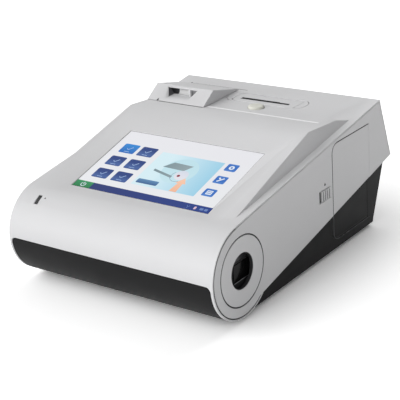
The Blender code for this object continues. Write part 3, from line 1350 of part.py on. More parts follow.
def standoff_places(left, right, front, rear):
    return [(x, back) for x in (left + BOARD_IN, right - BOARD_IN)
            for back in (front + BOARD_IN, rear - BOARD_IN)]


def make_boards(green, steel, dark):
    """The main board with its shield can, and the power board with its choke."""
    low = CHASSIS_TOP + STANDOFF_TALL + GAP
    high = low + BOARD_THICK
    add("main_board",
        case_box((BOARD_LEFT, BOARD_RIGHT), (BOARD_FRONT_BACK, BOARD_REAR_BACK), (low, high)), green)
    half = SHIELD_WIDE / 2
    add("processor_shield", case_box((-half, half), (SHIELD_BACK - half, SHIELD_BACK + half),
                                     (high + GAP, high + GAP + SHIELD_TALL)), steel)
    board = add("power_board",
                case_box((POWER_LEFT, POWER_RIGHT), (POWER_FRONT_BACK, POWER_REAR_BACK), (low, high)),
                green)
    x = (POWER_LEFT + POWER_RIGHT) / 2
    back = (POWER_FRONT_BACK + POWER_REAR_BACK) / 2
    join(board, case_box((x - COIL_WIDE, x + COIL_WIDE), (back - COIL_WIDE / 2, back + COIL_WIDE / 2),
                         (high - GAP, high + COIL_TALL)))


def make_speaker(dark):
    """A round speaker on the base floor."""
    low = FLOOR_UP + GAP
    high = low + SPEAKER_TALL
    profile = [(0, low), (SPEAKER_RADIUS, low), (SPEAKER_RADIUS, high), (SPEAKER_CONE, high),
               (SPEAKER_CONE / 2, high - SPEAKER_CONE_DEEP), (0, high - SPEAKER_CONE_DEEP)]
    add("speaker", turned(profile, "Z", case_point(SPEAKER_BACK, 0, SPEAKER_X), 24), dark)


def make_pump(steel, cream, dark):
    """A small roller pump: motor below, round head above, and the rotor that turns in it."""
    middle = case_point(PUMP_BACK, 0, PUMP_X)
    low = CHASSIS_TOP + GAP
    motor_high = low + PUMP_MOTOR_LONG
    profile = [(0, low), (PUMP_MOTOR_RADIUS, low), (PUMP_MOTOR_RADIUS, motor_high),
               (PUMP_SHAFT_RADIUS, motor_high), (PUMP_SHAFT_RADIUS, motor_high + PUMP_SHAFT_LONG),
               (0, motor_high + PUMP_SHAFT_LONG)]
    add("pump_motor", turned(profile, "Z", middle, 24), steel)
    head_low = motor_high + GAP
    inner = PUMP_HEAD_RADIUS - PUMP_HEAD_WALL
    bore = PUMP_SHAFT_RADIUS + RUNNING_GAP
    head = [(bore, head_low), (PUMP_HEAD_RADIUS, head_low), (PUMP_HEAD_RADIUS, head_low + PUMP_HEAD_LONG),
            (inner, head_low + PUMP_HEAD_LONG), (inner, head_low + PUMP_HEAD_FLOOR),
            (bore, head_low + PUMP_HEAD_FLOOR)]
    add("pump_head", turned(head, "Z", middle, 28), cream)
    rotor_low = head_low + PUMP_HEAD_FLOOR + GAP
    hub_bore = PUMP_SHAFT_RADIUS + PUMP_BEARING_GAP
    rotor = add("pump_rotor", tube(PUMP_ROTOR_RADIUS - PUMP_ROLLER_RADIUS, hub_bore, rotor_low,
                                   rotor_low + PUMP_ROTOR_LONG, "Z", middle, 24), dark,
                origin=middle + Vector((0, 0, rotor_low)))
    rollers = 3
    for roller in range(rollers):
        angle = 2 * math.pi * roller / rollers
        reach = PUMP_ROTOR_RADIUS - PUMP_ROLLER_RADIUS
        place = middle + Vector((reach * math.cos(angle), reach * math.sin(angle), 0))
        join(rotor, rod(PUMP_ROLLER_RADIUS, rotor_low, rotor_low + PUMP_ROTOR_LONG, "Z", place, 16))


# Battery, feet and screws

def make_battery(blue, black):
    """The battery pack, held up by the cover in the base floor."""
    cover_high = FOOT_HEIGHT + BATTERY_COVER_THICK
    cover = add("battery_cover",
                case_box((-BATTERY_HALF, BATTERY_HALF), (BATTERY_FRONT_BACK, BATTERY_REAR_BACK),
                                          (FOOT_HEIGHT, cover_high)), black)
    middle = (BATTERY_FRONT_BACK + BATTERY_REAR_BACK) / 2
    cut(cover, case_box((-FINGER_WIDE / 2, FINGER_WIDE / 2),
                        (BATTERY_REAR_BACK - FINGER_LONG * 2, BATTERY_REAR_BACK - FINGER_LONG),
                        (FOOT_HEIGHT - OVERRUN, FOOT_HEIGHT + FINGER_DEEP)))
    half_long = (BATTERY_REAR_BACK - BATTERY_FRONT_BACK) / 2 - SEAM * 2
    low = cover_high + GAP
    outline = rounded_rectangle(middle - half_long, low, middle + half_long, low + BATTERY_TALL,
                                BATTERY_CORNER, 3)
    add("battery_pack", side_prism(outline, -BATTERY_HALF + SEAM * 2, BATTERY_HALF - SEAM * 2), blue)


def corner_places(x, front, rear):
    return ((-x, front), (x, front), (-x, rear), (x, rear))


def screw_places():
    return corner_places(SCREW_X, SCREW_FRONT_BACK, SCREW_REAR_BACK)


def make_feet(rubber):
    """Four round rubber feet under the tray."""
    names = ("foot_front_left", "foot_front_right", "foot_rear_left", "foot_rear_right")
    high = FOOT_HEIGHT - GAP
    profile = [(0, 0), (FOOT_RADIUS - FOOT_CHAMFER, 0), (FOOT_RADIUS, FOOT_CHAMFER),
               (FOOT_RADIUS, high), (0, high)]
    for name, (x, back) in zip(names, corner_places(FOOT_X, FOOT_FRONT_BACK, FOOT_REAR_BACK)):
        add(name, turned(profile, "Z", case_point(back, 0, x), 24), rubber)


def make_case_screws(steel):
    """Four screws that close the case from below, their heads sunk in the tray's bosses."""
    low = FOOT_HEIGHT + SCREW_SINK
    head_high = low + SCREW_HEAD_TALL
    profile = [(0, low), (SCREW_HEAD_RADIUS, low), (SCREW_HEAD_RADIUS, head_high), (SCREW_RADIUS, head_high),
               (SCREW_RADIUS, head_high + SCREW_LONG), (0, head_high + SCREW_LONG)]
    for number, (x, back) in enumerate(screw_places(), 1):
        add(f"case_screw_{number}", turned(profile, "Z", case_point(back, 0, x), 16), steel)


def main():
    for old in list(bpy.data.objects):
        bpy.data.objects.remove(old, do_unlink=True)

    white = material("white shell", (0.64, 0.64, 0.65), 0.42)
    black = material("black base", (0.012, 0.012, 0.013), 0.42)
    gloss = material("gloss black", (0.010, 0.010, 0.012), 0.08)
    dark = material("dark plastic", (0.060, 0.062, 0.066), 0.50)
    cream = material("cream plastic", (0.70, 0.69, 0.60), 0.35)
    rubber = material("rubber", (0.030, 0.030, 0.030), 0.80)
    steel = material("steel", (0.62, 0.63, 0.65), 0.30, 1.0)
    aluminium = material("aluminium", (0.78, 0.79, 0.80), 0.38, 1.0)
    green = material("circuit board", (0.020, 0.160, 0.070), 0.45)
    blue = material("blue label plastic", (0.070, 0.200, 0.520), 0.40)
    paper = material("thermal paper", (0.86, 0.86, 0.84), 0.75)
    glass = material("display glass", (0.020, 0.025, 0.035), 0.06)

    screen_frame = tilted_frame("screen_frame", SCREEN_BACK, SCREEN_UP, SCREEN_SLOPE)
    deck_frame = tilted_frame("deck_frame", DECK_FRONT_BACK, DECK_FRONT_UP, DECK_SLOPE)
    rear_frame = tilted_frame("rear_frame", BASE_REAR_LOW_BACK, FOOT_HEIGHT, REAR_LEAN)

    make_top_cover(white, screen_frame, deck_frame)
    make_side_panel(-1, white)
    make_side_panel(1, white)
    make_hub_cap_left(white)
    make_hub_ring_right(white)
    make_scanner(dark, gloss, dark)
    make_indicator_lens(gloss)
    make_screen(screen_frame, glass, dark, steel)
    make_port_housing(deck_frame, white)
    make_port_inside(deck_frame, cream, aluminium, dark, steel)
    make_printer(deck_frame, white, rubber, steel, dark, paper)
    make_release_button(deck_frame, cream, dark)
    make_base_tray(black, rear_frame)
    make_rear_sockets(rear_frame, dark, steel, gloss)
    make_door(white, black)
    make_latch(white, dark, steel)
    make_pack_bay(white, blue, cream)
    make_chassis(aluminium)
    make_boards(green, steel, dark)
    make_speaker(dark)
    make_pump(steel, cream, dark)
    make_battery(blue, black)
    make_feet(rubber)
    make_case_screws(steel)


main()
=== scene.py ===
import math

import bmesh
import bpy
from mathutils import Matrix, Vector


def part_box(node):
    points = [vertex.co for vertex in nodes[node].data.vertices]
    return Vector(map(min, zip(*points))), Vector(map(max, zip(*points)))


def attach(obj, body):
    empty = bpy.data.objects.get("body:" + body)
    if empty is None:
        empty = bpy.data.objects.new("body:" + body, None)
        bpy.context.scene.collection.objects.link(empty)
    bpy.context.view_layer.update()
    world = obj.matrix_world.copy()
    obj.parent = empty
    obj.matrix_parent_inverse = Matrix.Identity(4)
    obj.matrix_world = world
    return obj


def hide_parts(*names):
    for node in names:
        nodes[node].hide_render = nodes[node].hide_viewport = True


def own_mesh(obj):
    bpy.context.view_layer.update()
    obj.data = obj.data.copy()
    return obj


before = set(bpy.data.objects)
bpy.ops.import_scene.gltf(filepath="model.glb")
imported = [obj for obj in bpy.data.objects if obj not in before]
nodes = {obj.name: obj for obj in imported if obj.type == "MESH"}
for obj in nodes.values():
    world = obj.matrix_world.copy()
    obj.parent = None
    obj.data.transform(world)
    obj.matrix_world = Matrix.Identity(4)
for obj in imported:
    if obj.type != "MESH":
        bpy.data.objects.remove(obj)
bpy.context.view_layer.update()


# Black lower case: one injection-moulded tray with a fine spark-eroded grain.
# The battery cover in its floor and the lower part of the door are from the same black plastic.

def new_material(name, colour, roughness, metallic=0.0):
    """A material with a Principled shader and points in metres to work from."""
    made = bpy.data.materials.new(name)
    made.use_nodes = True
    made.diffuse_color = (*colour, 1)
    tree = made.node_tree
    shader = tree.nodes["Principled BSDF"]
    shader.inputs["Base Color"].default_value = (*colour, 1)
    shader.inputs["Roughness"].default_value = roughness
    shader.inputs["Metallic"].default_value = metallic
    places = tree.nodes.new("ShaderNodeTexCoord")
    return made, tree, shader, places.outputs["Object"]


def noise(tree, places, waves, detail, stretch=(1, 1, 1)):
    """A noise pattern, with so many waves to the metre."""
    mapping = tree.nodes.new("ShaderNodeMapping")
    mapping.inputs["Scale"].default_value = stretch
    pattern = tree.nodes.new("ShaderNodeTexNoise")
    pattern.inputs["Scale"].default_value = waves
    pattern.inputs["Detail"].default_value = detail
    tree.links.new(places, mapping.inputs["Vector"])
    tree.links.new(mapping.outputs["Vector"], pattern.inputs["Vector"])
    return pattern.outputs["Fac"]


def spread(tree, source, low, high, start=0.3, end=0.7):
    """The source's range from start to end mapped onto low to high."""
    ranged = tree.nodes.new("ShaderNodeMapRange")
    ranged.inputs["From Min"].default_value = start
    ranged.inputs["From Max"].default_value = end
    ranged.inputs["To Min"].default_value = low
    ranged.inputs["To Max"].default_value = high
    tree.links.new(source, ranged.inputs["Value"])
    return ranged.outputs["Result"]


def blended(tree, source, first, second):
    """A colour that runs from the first to the second as the source runs from 0 to 1."""
    blend = tree.nodes.new("ShaderNodeMix")
    blend.data_type = "RGBA"
    blend.inputs[6].default_value = (*first, 1)
    blend.inputs[7].default_value = (*second, 1)
    tree.links.new(source, blend.inputs[0])
    return blend.outputs[2]


def tint(tree, shader, source, first, second):
    """Base colour that wanders between two close colours with a noise pattern."""
    tree.links.new(blended(tree, spread(tree, source, 0, 1), first, second), shader.inputs["Base Color"])


def grain(tree, shader, source, strength, depth, edge=0.0):
    """Fine relief from a pattern, with the arrises rounded by edge metres."""
    bump = tree.nodes.new("ShaderNodeBump")
    bump.inputs["Strength"].default_value = strength
    bump.inputs["Distance"].default_value = depth
    tree.links.new(source, bump.inputs["Height"])
    if edge:
        bevel = tree.nodes.new("ShaderNodeBevel")
        bevel.samples = 6
        bevel.inputs["Radius"].default_value = edge
        tree.links.new(bevel.outputs["Normal"], bump.inputs["Normal"])
    tree.links.new(bump.outputs["Normal"], shader.inputs["Normal"])


def moulded(name, colour, roughness, strength, edge, drift, specular=0.5):
    """Moulded plastic: eroded grain, patchy gloss, and colour that drifts by a small share."""
    grain_waves, patch_waves = 1500, 22
    gloss_range, grain_depth = 0.05, 0.00012
    made, tree, shader, places = new_material(name, colour, roughness)
    shader.inputs["Specular IOR Level"].default_value = specular
    fine = noise(tree, places, grain_waves, 2)
    wide = noise(tree, places, patch_waves, 3)
    tree.links.new(spread(tree, wide, roughness - gloss_range, roughness + gloss_range),
                   shader.inputs["Roughness"])
    darker = tuple(value * (1 - drift) for value in colour)
    lighter = tuple(min(1, value * (1 + drift)) for value in colour)
    tint(tree, shader, wide, darker, lighter)
    grain(tree, shader, fine, strength, grain_depth, edge)
    return made


def added(name, data):
    """A new object in the scene with this data."""
    piece = bpy.data.objects.new(name, data)
    bpy.context.scene.collection.objects.link(piece)
    return piece


def round_arrises(piece, width, limit=30, clamp=True):
    """A two-step bevel on the edges that turn by more than limit degrees."""
    bevel = piece.modifiers.new("arrises", "BEVEL")
    bevel.width = width
    bevel.segments = 2
    bevel.limit_method = "ANGLE"
    bevel.angle_limit = math.radians(limit)
    bevel.use_clamp_overlap = clamp


def finish_mesh(piece, angle=28):
    """Applies the modifiers, then shades smooth up to the given angle with flats kept flat."""
    graph = bpy.context.evaluated_depsgraph_get()
    graph.update()
    made = bpy.data.meshes.new_from_object(piece.evaluated_get(graph))
    piece.modifiers.clear()
    piece.data = made
    for face in made.polygons:
        face.use_smooth = True
    made.set_sharp_from_angle(angle=math.radians(angle))
    weighted = piece.modifiers.new("flats", "WEIGHTED_NORMAL")
    weighted.keep_sharp = True


def case_copy(name, body, made, edge):
    """A dressed copy of a CAD shell: welded, its flats joined, its arrises rounded, its curves smooth."""
    weld, flat_angle = 0.000002, math.radians(0.4)
    mesh = nodes[name].data.copy()
    shape = bmesh.new()
    shape.from_mesh(mesh)
    bmesh.ops.remove_doubles(shape, verts=shape.verts, dist=weld)
    bmesh.ops.dissolve_limit(shape, angle_limit=flat_angle, verts=shape.verts, edges=shape.edges)
    shape.to_mesh(mesh)
    shape.free()
    mesh.materials.clear()
    mesh.materials.append(made)
    piece = added(name + "_finish", mesh)
    if edge:
        round_arrises(piece, edge, 35, False)
    finish_mesh(piece)
    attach(piece, body)
    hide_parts(name)


black = moulded("black grained shell", (0.0060, 0.0060, 0.0066), 0.56, strength=0.25, edge=0, drift=0.10,
                specular=0.16)
case_copy("base_tray", "case", black, edge=0.0004)
case_copy("battery_cover", "case", black, edge=0.0003)


# Feet and case screws: four moulded rubber feet pressed into the tray, and four plated screws beside them.
# The screws hold tray and chassis together; each has a cross recess in its head.

def wear(made, *names):
    """Puts a material on CAD nodes, whose meshes stay as they are."""
    for name in names:
        for slot in nodes[name].material_slots:
            slot.material = made


def metal(name, colour, roughness, pattern, gloss, dull, bright, strength, depth, edge=0.0):
    """Bare or plated metal, with a stretched pattern (waves, detail, stretch) along its working lines."""
    made, tree, shader, places = new_material(name, colour, roughness, 1.0)
    lines = noise(tree, places, *pattern)
    tree.links.new(spread(tree, lines, *gloss), shader.inputs["Roughness"])
    tint(tree, shader, lines, dull, bright)
    grain(tree, shader, lines, strength, depth, edge)
    return made


def rectangle(low_a, low_b, high_a, high_b):
    """A rectangle, counter-clockwise from its low corner."""
    return [(low_a, low_b), (high_a, low_b), (high_a, high_b), (low_a, high_b)]


def laid(name, body, made, outlines, low, high, place, edge=0.0):
    """A thin solid from closed outlines of (a, b) points in metres, laid in its own frame."""
    shape = bmesh.new()
    for outline in outlines:
        ends = [[shape.verts.new((a, b, level)) for a, b in outline] for level in (low, high)]
        shape.faces.new(list(reversed(ends[0])))
        shape.faces.new(ends[1])
        for index in range(len(outline)):
            after = (index + 1) % len(outline)
            shape.faces.new((ends[0][index], ends[0][after], ends[1][after], ends[1][index]))
    bmesh.ops.recalc_face_normals(shape, faces=shape.faces)
    mesh = bpy.data.meshes.new(name)
    shape.to_mesh(mesh)
    shape.free()
    mesh.transform(place)
    mesh.materials.append(made)
    piece = added(name, mesh)
    if edge:
        round_arrises(piece, edge)
    finish_mesh(piece)
    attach(piece, body)


rubber = moulded("black rubber", (0.018, 0.018, 0.018), 0.74, strength=0.45, edge=0.0002, drift=0.15)
wear(rubber, "foot_front_left", "foot_front_right", "foot_rear_left", "foot_rear_right")
steel = metal("plated steel", (0.60, 0.60, 0.61), 0.30, pattern=(180, 2, (1, 1, 14)), gloss=(0.24, 0.40),
              dull=(0.56, 0.56, 0.57), bright=(0.64, 0.64, 0.66), strength=0.10, depth=0.0001)
# A near-black of painted shade, for the recesses, seams and gaps below; on the rating plate it prints the
# lines.
recess_dark = moulded("recess shadow", (0.006, 0.006, 0.006), 0.85, strength=0.1, edge=0, drift=0.1)
flat_plane = Matrix.Identity(4)
recess_arm, recess_half = 0.0019, 0.00032
recess_proud, recess_deep = 0.00003, 0.0002
for number in range(1, 5):
    screw = "case_screw_%d" % number
    wear(steel, screw)
    low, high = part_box(screw)
    x, y = (low[0] + high[0]) / 2, (low[1] + high[1]) / 2
    # Each screw head's cross recess is a thin dark cross of painted shade.
    cross = [rectangle(x - recess_arm, y - recess_half, x + recess_arm, y + recess_half),
             rectangle(x - recess_half, y - recess_arm, x + recess_half, y + recess_arm)]
    laid("screw_recess_%d" % number, "case", recess_dark, cross,
         low=low[2] - recess_proud, high=low[2] + recess_deep, place=flat_plane)


# Chassis: one bent and punched aluminium sheet on the four screw legs, under everything inside.
# It keeps the fine straight lines of the rolled sheet.

aluminium = metal("rolled aluminium", (0.74, 0.75, 0.76), 0.36, pattern=(90, 3, (1, 22, 1)),
                  gloss=(0.30, 0.46), dull=(0.70, 0.71, 0.72), bright=(0.78, 0.79, 0.80),
                  strength=0.08, depth=0.0001, edge=0.0003)
wear(aluminium, "chassis")


# Circuit boards: green solder mask over copper tracks, on the chassis's standoffs, with a pressed shield can.
# The larger chips stand on the main board as plain black packages with bright leads; a loudspeaker sits near.

board, tree, shader, places = new_material("green solder mask", (0.02, 0.15, 0.07), 0.38)
tracks = tree.nodes.new("ShaderNodeTexBrick")
tracks.inputs["Scale"].default_value = 260
tracks.inputs["Mortar Size"].default_value = 0.03
tracks.inputs["Color1"].default_value = (0.015, 0.13, 0.06, 1)
tracks.inputs["Color2"].default_value = (0.02, 0.16, 0.07, 1)
tracks.inputs["Mortar"].default_value = (0.05, 0.25, 0.11, 1)
tree.links.new(places, tracks.inputs["Vector"])
tree.links.new(tracks.outputs["Color"], shader.inputs["Base Color"])
grain(tree, shader, tracks.outputs["Fac"], 0.2, 0.00005)
wear(board, "main_board", "power_board")
wear(steel, "processor_shield")
dark = moulded("dark grey plastic", (0.030, 0.031, 0.033), 0.50, strength=0.20, edge=0.0002, drift=0.12)
wear(dark, "speaker")
board_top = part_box("main_board")[1][2]
chip_tall, chip_edge = 0.0014, 0.0002
lead_tall, lead_reach, lead_inset = 0.0003, 0.0008, 0.001
chips = [(-0.035, 0.004, 0.014, 0.014), (0.028, -0.028, 0.012, 0.012), (0.030, 0.002, 0.009, 0.006),
         (0.044, -0.062, 0.010, 0.007), (-0.040, -0.055, 0.012, 0.008), (0.010, -0.066, 0.006, 0.005)]
laid("board_chips", "case", dark,
     [rectangle(x - wide / 2, y - long / 2, x + wide / 2, y + long / 2) for x, y, wide, long in chips],
     low=board_top, high=board_top + chip_tall, place=flat_plane, edge=chip_edge)
laid("board_leads", "case", steel,
     [rectangle(x - wide / 2 - lead_reach, y - long / 2 + lead_inset,
                x + wide / 2 + lead_reach, y + long / 2 - lead_inset) for x, y, wide, long in chips],
     low=board_top, high=board_top + lead_tall, place=flat_plane)


# Battery, reagent pack and pump: both packs are wrapped in blue film, and the reagent pack has a pale label.
# The pack's connector and the pump's head are moulded in warm white; a steel-cased motor turns the rotor.

def side_plane(out, back=0, up=0, side=1):
    """A frame on the case's side: a runs to the back, b upwards and the level outwards."""
    return Matrix(((0, 0, side, out), (1, 0, 0, back), (0, 1, 0, up), (0, 0, 0, 1)))


def rounded(low_a, low_b, high_a, high_b, radius, steps=4):
    """A rectangle with round corners, counter-clockwise."""
    points = []
    for a, b, turn in ((high_a - radius, high_b - radius, 0), (low_a + radius, high_b - radius, 1),
                       (low_a + radius, low_b + radius, 2), (high_a - radius, low_b + radius, 3)):
        for step in range(steps + 1):
            angle = math.pi / 2 * (turn + step / steps)
            points.append((a + radius * math.cos(angle), b + radius * math.sin(angle)))
    return points


blue = moulded("blue pack wrap", (0.045, 0.15, 0.46), 0.42, strength=0.10, edge=0.0006, drift=0.06)
wear(blue, "calibrant_pack", "battery_pack")
label = moulded("paper label", (0.70, 0.71, 0.72), 0.55, strength=0.05, edge=0, drift=0.02)
pack_low, pack_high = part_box("calibrant_pack")
pack_side = side_plane(pack_high[0])
label_front, label_rear = pack_low[1] + 0.008, pack_high[1] - 0.008
label_low, label_high = pack_low[2] + 0.018, pack_high[2] - 0.030
line_front, line_rear, line_corner = label_front + 0.003, label_rear - 0.003, 0.0004
laid("pack_label", "case", label,
     [rounded(label_front, label_low, label_rear, label_high, 0.002)],
     low=-0.0002, high=0.00012, place=pack_side)
laid("pack_label_line", "case", blue,
     [rounded(line_front, label_high - 0.012, line_rear, label_high - 0.0105, line_corner),
      rounded(line_front, label_low + 0.004, line_rear, label_low + 0.0055, line_corner)],
     low=0, high=0.00018, place=pack_side)
cream = moulded("warm white plastic", (0.62, 0.63, 0.54), 0.36, strength=0.06, edge=0.0003, drift=0.02)
wear(cream, "fluid_connector", "pump_head")
wear(steel, "pump_motor")
wear(dark, "pump_rotor")


# Measuring unit: a milled aluminium block that heats the cartridge, on a bent steel bracket.
# On the block lies the dark plastic carrier that meets the cartridge's contacts.

wear(steel, "measuring_bracket")
wear(aluminium, "heater_block")
wear(dark, "contact_block")


# White upper case: a hood and two cheeks in light grey-white plastic with a satin, very fine grain.
# The cheeks snap on inside the hood's rims; the thin dark lines where they meet, and round the hub rings, are
# dark strips of painted shade in the grooves.

def disc(a, b, radius, steps=20):
    """A round outline."""
    turns = [2 * math.pi * step / steps for step in range(steps)]
    return [(a + radius * math.cos(turn), b + radius * math.sin(turn)) for turn in turns]


def arc(a, b, radius, start, sweep, steps):
    """An open line of points along a circle, from the start angle on."""
    turns = [start + sweep * step / steps for step in range(steps + 1)]
    return [(a + radius * math.cos(turn), b + radius * math.sin(turn)) for turn in turns]


def band(points, half):
    """A closed outline round an open line of (a, b) points, of even width."""
    near, far = [], []
    for index, (a, b) in enumerate(points):
        before = points[max(index - 1, 0)]
        after = points[min(index + 1, len(points) - 1)]
        length = math.hypot(after[0] - before[0], after[1] - before[1])
        side_a, side_b = -(after[1] - before[1]) / length * half, (after[0] - before[0]) / length * half
        near.append((a + side_a, b + side_b))
        far.append((a - side_a, b - side_b))
    return far + near[::-1]


white = moulded("white satin shell", (0.64, 0.64, 0.65), 0.40, strength=0.06, edge=0, drift=0.012)
case_copy("top_cover", "case", white, edge=0.0004)
case_copy("side_panel_left", "case", white, edge=0.0004)
case_copy("side_panel_right", "case", white, edge=0.0004)
case_copy("hub_cap_left", "case", white, edge=0.0006)
case_copy("hub_ring_right", "case", white, edge=0.0006)
case_copy("pack_bay", "case", white, edge=0.0003)
# A dark grey of painted shade, laid in the grooves round the hub rings and cheeks, in the door's gap and by
# the latch's slide; the latch's small mark is print in it.
groove_dark = moulded("groove shadow", (0.022, 0.022, 0.024), 0.8, strength=0.1, edge=0, drift=0.05)
hub_y, hub_up = -0.1139, 0.048
hub_radius, hub_half = 0.0326, 0.00054
cheek_radius, cheek_half = 0.04256, 0.00046
cheek_start, cheek_sweep = math.radians(-48.5), math.radians(-212.5)
groove_out, groove_tall = 0.1165, 0.0022
ring_turn = 6.283    # a few micrometres short of a full turn, which keeps a ring's band one outline
for side, word in ((1, "right"), (-1, "left")):
    groove_plane = side_plane(side * groove_out, hub_y, hub_up, side)
    laid("hub_groove_" + word, "case", groove_dark,
         [band(arc(0, 0, hub_radius, 0, ring_turn, 72), hub_half)],
         low=0.0, high=groove_tall, place=groove_plane)
    laid("cheek_groove_" + word, "case", groove_dark,
         [band(arc(0, 0, cheek_radius, cheek_start, cheek_sweep, 60), cheek_half)],
         low=0.0, high=groove_tall, place=groove_plane)

deck_y, deck_up = hub_y + 0.1676, 0.1288
deck_rise, deck_long = 0.0024, 0.0829
shoulder_drop, shoulder_long = 0.0024, 0.0340
deck_place = (Matrix.Translation((0, deck_y, deck_up))
              @ Matrix.Rotation(math.atan2(deck_rise, deck_long), 4, "X"))
# A dark grey of painted shade for seams and the hollows between the latch's ribs; a strip of it marks the
# seam behind the port, whose ends are dots of painted shade.
seam_dark = moulded("seam shadow", (0.07, 0.07, 0.075), 0.8, strength=0.1, edge=0, drift=0.05)
seam_y = 0.0594
laid("deck_seam", "case", seam_dark, [band([(-0.0965, seam_y), (-0.0260, seam_y)], 0.00042)],
     low=-0.0002, high=0.00003, place=deck_place)
laid("deck_seam_ends", "case", recess_dark,
     [disc(-0.0975, seam_y + 0.0008, 0.0010, 14), disc(-0.0250, seam_y, 0.0007, 14)],
     low=-0.0002, high=0.00004, place=deck_place)
shoulder_place = (Matrix.Translation((0, deck_y, deck_up))
                  @ Matrix.Rotation(-math.atan2(shoulder_drop, shoulder_long), 4, "X"))
# A dark line of painted shade runs under the port's front foot, and the small notch in it is a dark mark of
# painted shade.
port_foot = -0.0064
laid("port_foot_seam", "case", recess_dark,
     [band([(-0.0945, port_foot), (-0.0345, port_foot)], 0.0005)],
     low=-0.0002, high=0.00005, place=shoulder_place)
face_rise, face_long = 0.0118, 0.0187
face_place = (deck_place @ Matrix.Translation((0, -0.0060, 0.0012))
              @ Matrix.Rotation(math.atan2(face_rise, face_long), 4, "X"))
laid("port_foot_notch", "case", recess_dark,
     [[(-0.0950, 0.0001), (-0.0924, 0.0001), (-0.0930, 0.0032)]], low=-0.0003, high=0.00008, place=face_place)
# A low bead along the deck's front crease, whose lighter white is a painted highlight; the lid's front edge
# gets a line of the same painted highlight.
painted_highlight_white = moulded("painted highlight white", (0.80, 0.80, 0.81), 0.34, strength=0.03, edge=0, drift=0.01)
laid("deck_highlight_bead", "case", painted_highlight_white, [rounded(-0.0335, -0.0012, 0.098, 0.0010, 0.0010)],
     low=-0.0003, high=0.0005, place=deck_place, edge=0.0003)


# Indicator: a smoked, polished plastic window pressed into the round nose.
# A small dark sensor dot is set in flush beside it.

gloss = moulded("smoked gloss plastic", (0.006, 0.006, 0.007), 0.09, strength=0.02, edge=0, drift=0.1)
wear(gloss, "indicator_lens")
dot_x, nose_radius = -0.0874, 0.0446
dot_angle = math.radians(119.9)
dot_out = Vector((0, math.cos(dot_angle), math.sin(dot_angle)))
dot_place = (Matrix.Translation(Vector((dot_x, hub_y, hub_up)) + dot_out * nose_radius)
             @ Matrix.Rotation(dot_angle - math.pi / 2, 4, "X"))
laid("sensor_dot", "case", gloss, [disc(0, 0, 0.0007, 16)],
     low=-0.0004, high=0.00002, place=dot_place)


# Touch screen: a cover glass flush in the hood, bonded over a colour display in a pressed steel frame.
# The picture on it is generic: tiles, a guidance panel with a drawing, keys and a status bar.

screen_tilt = math.radians(15.4)
screen_place = Matrix.Translation((0, hub_y + 0.0067, 0.0913)) @ Matrix.Rotation(screen_tilt, 4, "X")
glass, tree, shader, places = new_material("cover glass edge", (0.012, 0.014, 0.018), 0.06)
smear = noise(tree, places, 26, 3)
tree.links.new(spread(tree, smear, 0.04, 0.10), shader.inputs["Roughness"])
wear(glass, "touch_glass")
wear(dark, "display_module")
wear(steel, "display_frame")


def linear(*shade):
    """A screen colour from its three values of 0 to 255."""
    return tuple((value / 255) ** 2.2 for value in shade)


def reckoned(tree, operation, first, second):
    """A maths node fed by one socket and by a second socket or a value."""
    node = tree.nodes.new("ShaderNodeMath")
    node.operation = operation
    tree.links.new(first, node.inputs[0])
    if isinstance(second, (int, float)):
        node.inputs[1].default_value = second
    else:
        tree.links.new(second, node.inputs[1])
    return node.outputs["Value"]


def shown(name, low, high, start, end, across=False, pitch=0.0):
    """Lit display colour under glass, running from one shade to another, once or once per row of tiles."""
    made, tree, shader, places = new_material(name, (0.01, 0.01, 0.01), 0.07)
    shader.inputs["Specular IOR Level"].default_value = 0.25
    turned = tree.nodes.new("ShaderNodeMapping")
    turned.vector_type = "TEXTURE"
    turned.inputs["Location"].default_value = screen_place.translation
    turned.inputs["Rotation"].default_value = screen_place.to_euler()
    split = tree.nodes.new("ShaderNodeSeparateXYZ")
    tree.links.new(places, turned.inputs["Vector"])
    tree.links.new(turned.outputs["Vector"], split.inputs["Vector"])
    along = split.outputs["X" if across else "Y"]
    if pitch:
        along = reckoned(tree, "PINGPONG", along, pitch)
    lit = blended(tree, spread(tree, along, 0, 1, start, end), low, high)
    tree.links.new(lit, shader.inputs["Emission Color"])
    shader.inputs["Emission Strength"].default_value = 1.0
    return made


def picture(name, level, made, shapes):
    """Flat shapes of the picture, in millimetres from the glass's lower middle, at one level over it."""
    bed, layer = -0.00049, 0.00003
    outlines = [[(u / 1000, v / 1000) for u, v in outline] for outline in shapes]
    laid(name, "case", made, outlines, low=bed, high=bed + level * layer, place=screen_place)


def pads(middles, half_wide, half_tall, corner):
    """Round-cornered pads of one size, from their middles."""
    return [rounded(u - half_wide, v - half_tall, u + half_wide, v + half_tall, corner) for u, v in middles]


half, bottom = 79.7, 0.9
page = shown("page", linear(228, 230, 233), linear(226, 226, 231), 0.0, 0.097)
picture("screen_page", 1, page, [rounded(-half, bottom, half, 96.7, 0.4)])
bar = shown("status bar", linear(26, 44, 104), linear(30, 58, 130), -0.08, 0.08, across=True)
picture("screen_bar", 2, bar, [[(-half, bottom), (half, bottom), (half, 9.4), (-half, 10.3)]])
green_key = shown("green key", linear(22, 112, 62), linear(44, 140, 88), 0.0, 0.0103)
picture("screen_power_key", 3, green_key, [[(-half, bottom), (-59, bottom), (-59, 10.2), (-half, 10.3)]])
mark = shown("white mark", linear(214, 224, 238), linear(224, 232, 242), 0.0, 0.09)
picture("screen_power_sign", 4, mark,
        [band(arc(-69, 5.2, 2.6, math.pi / 2 - 0.7, -4.9, 14), 0.42), rectangle(-69.4, 5.2, -68.6, 8.6)])

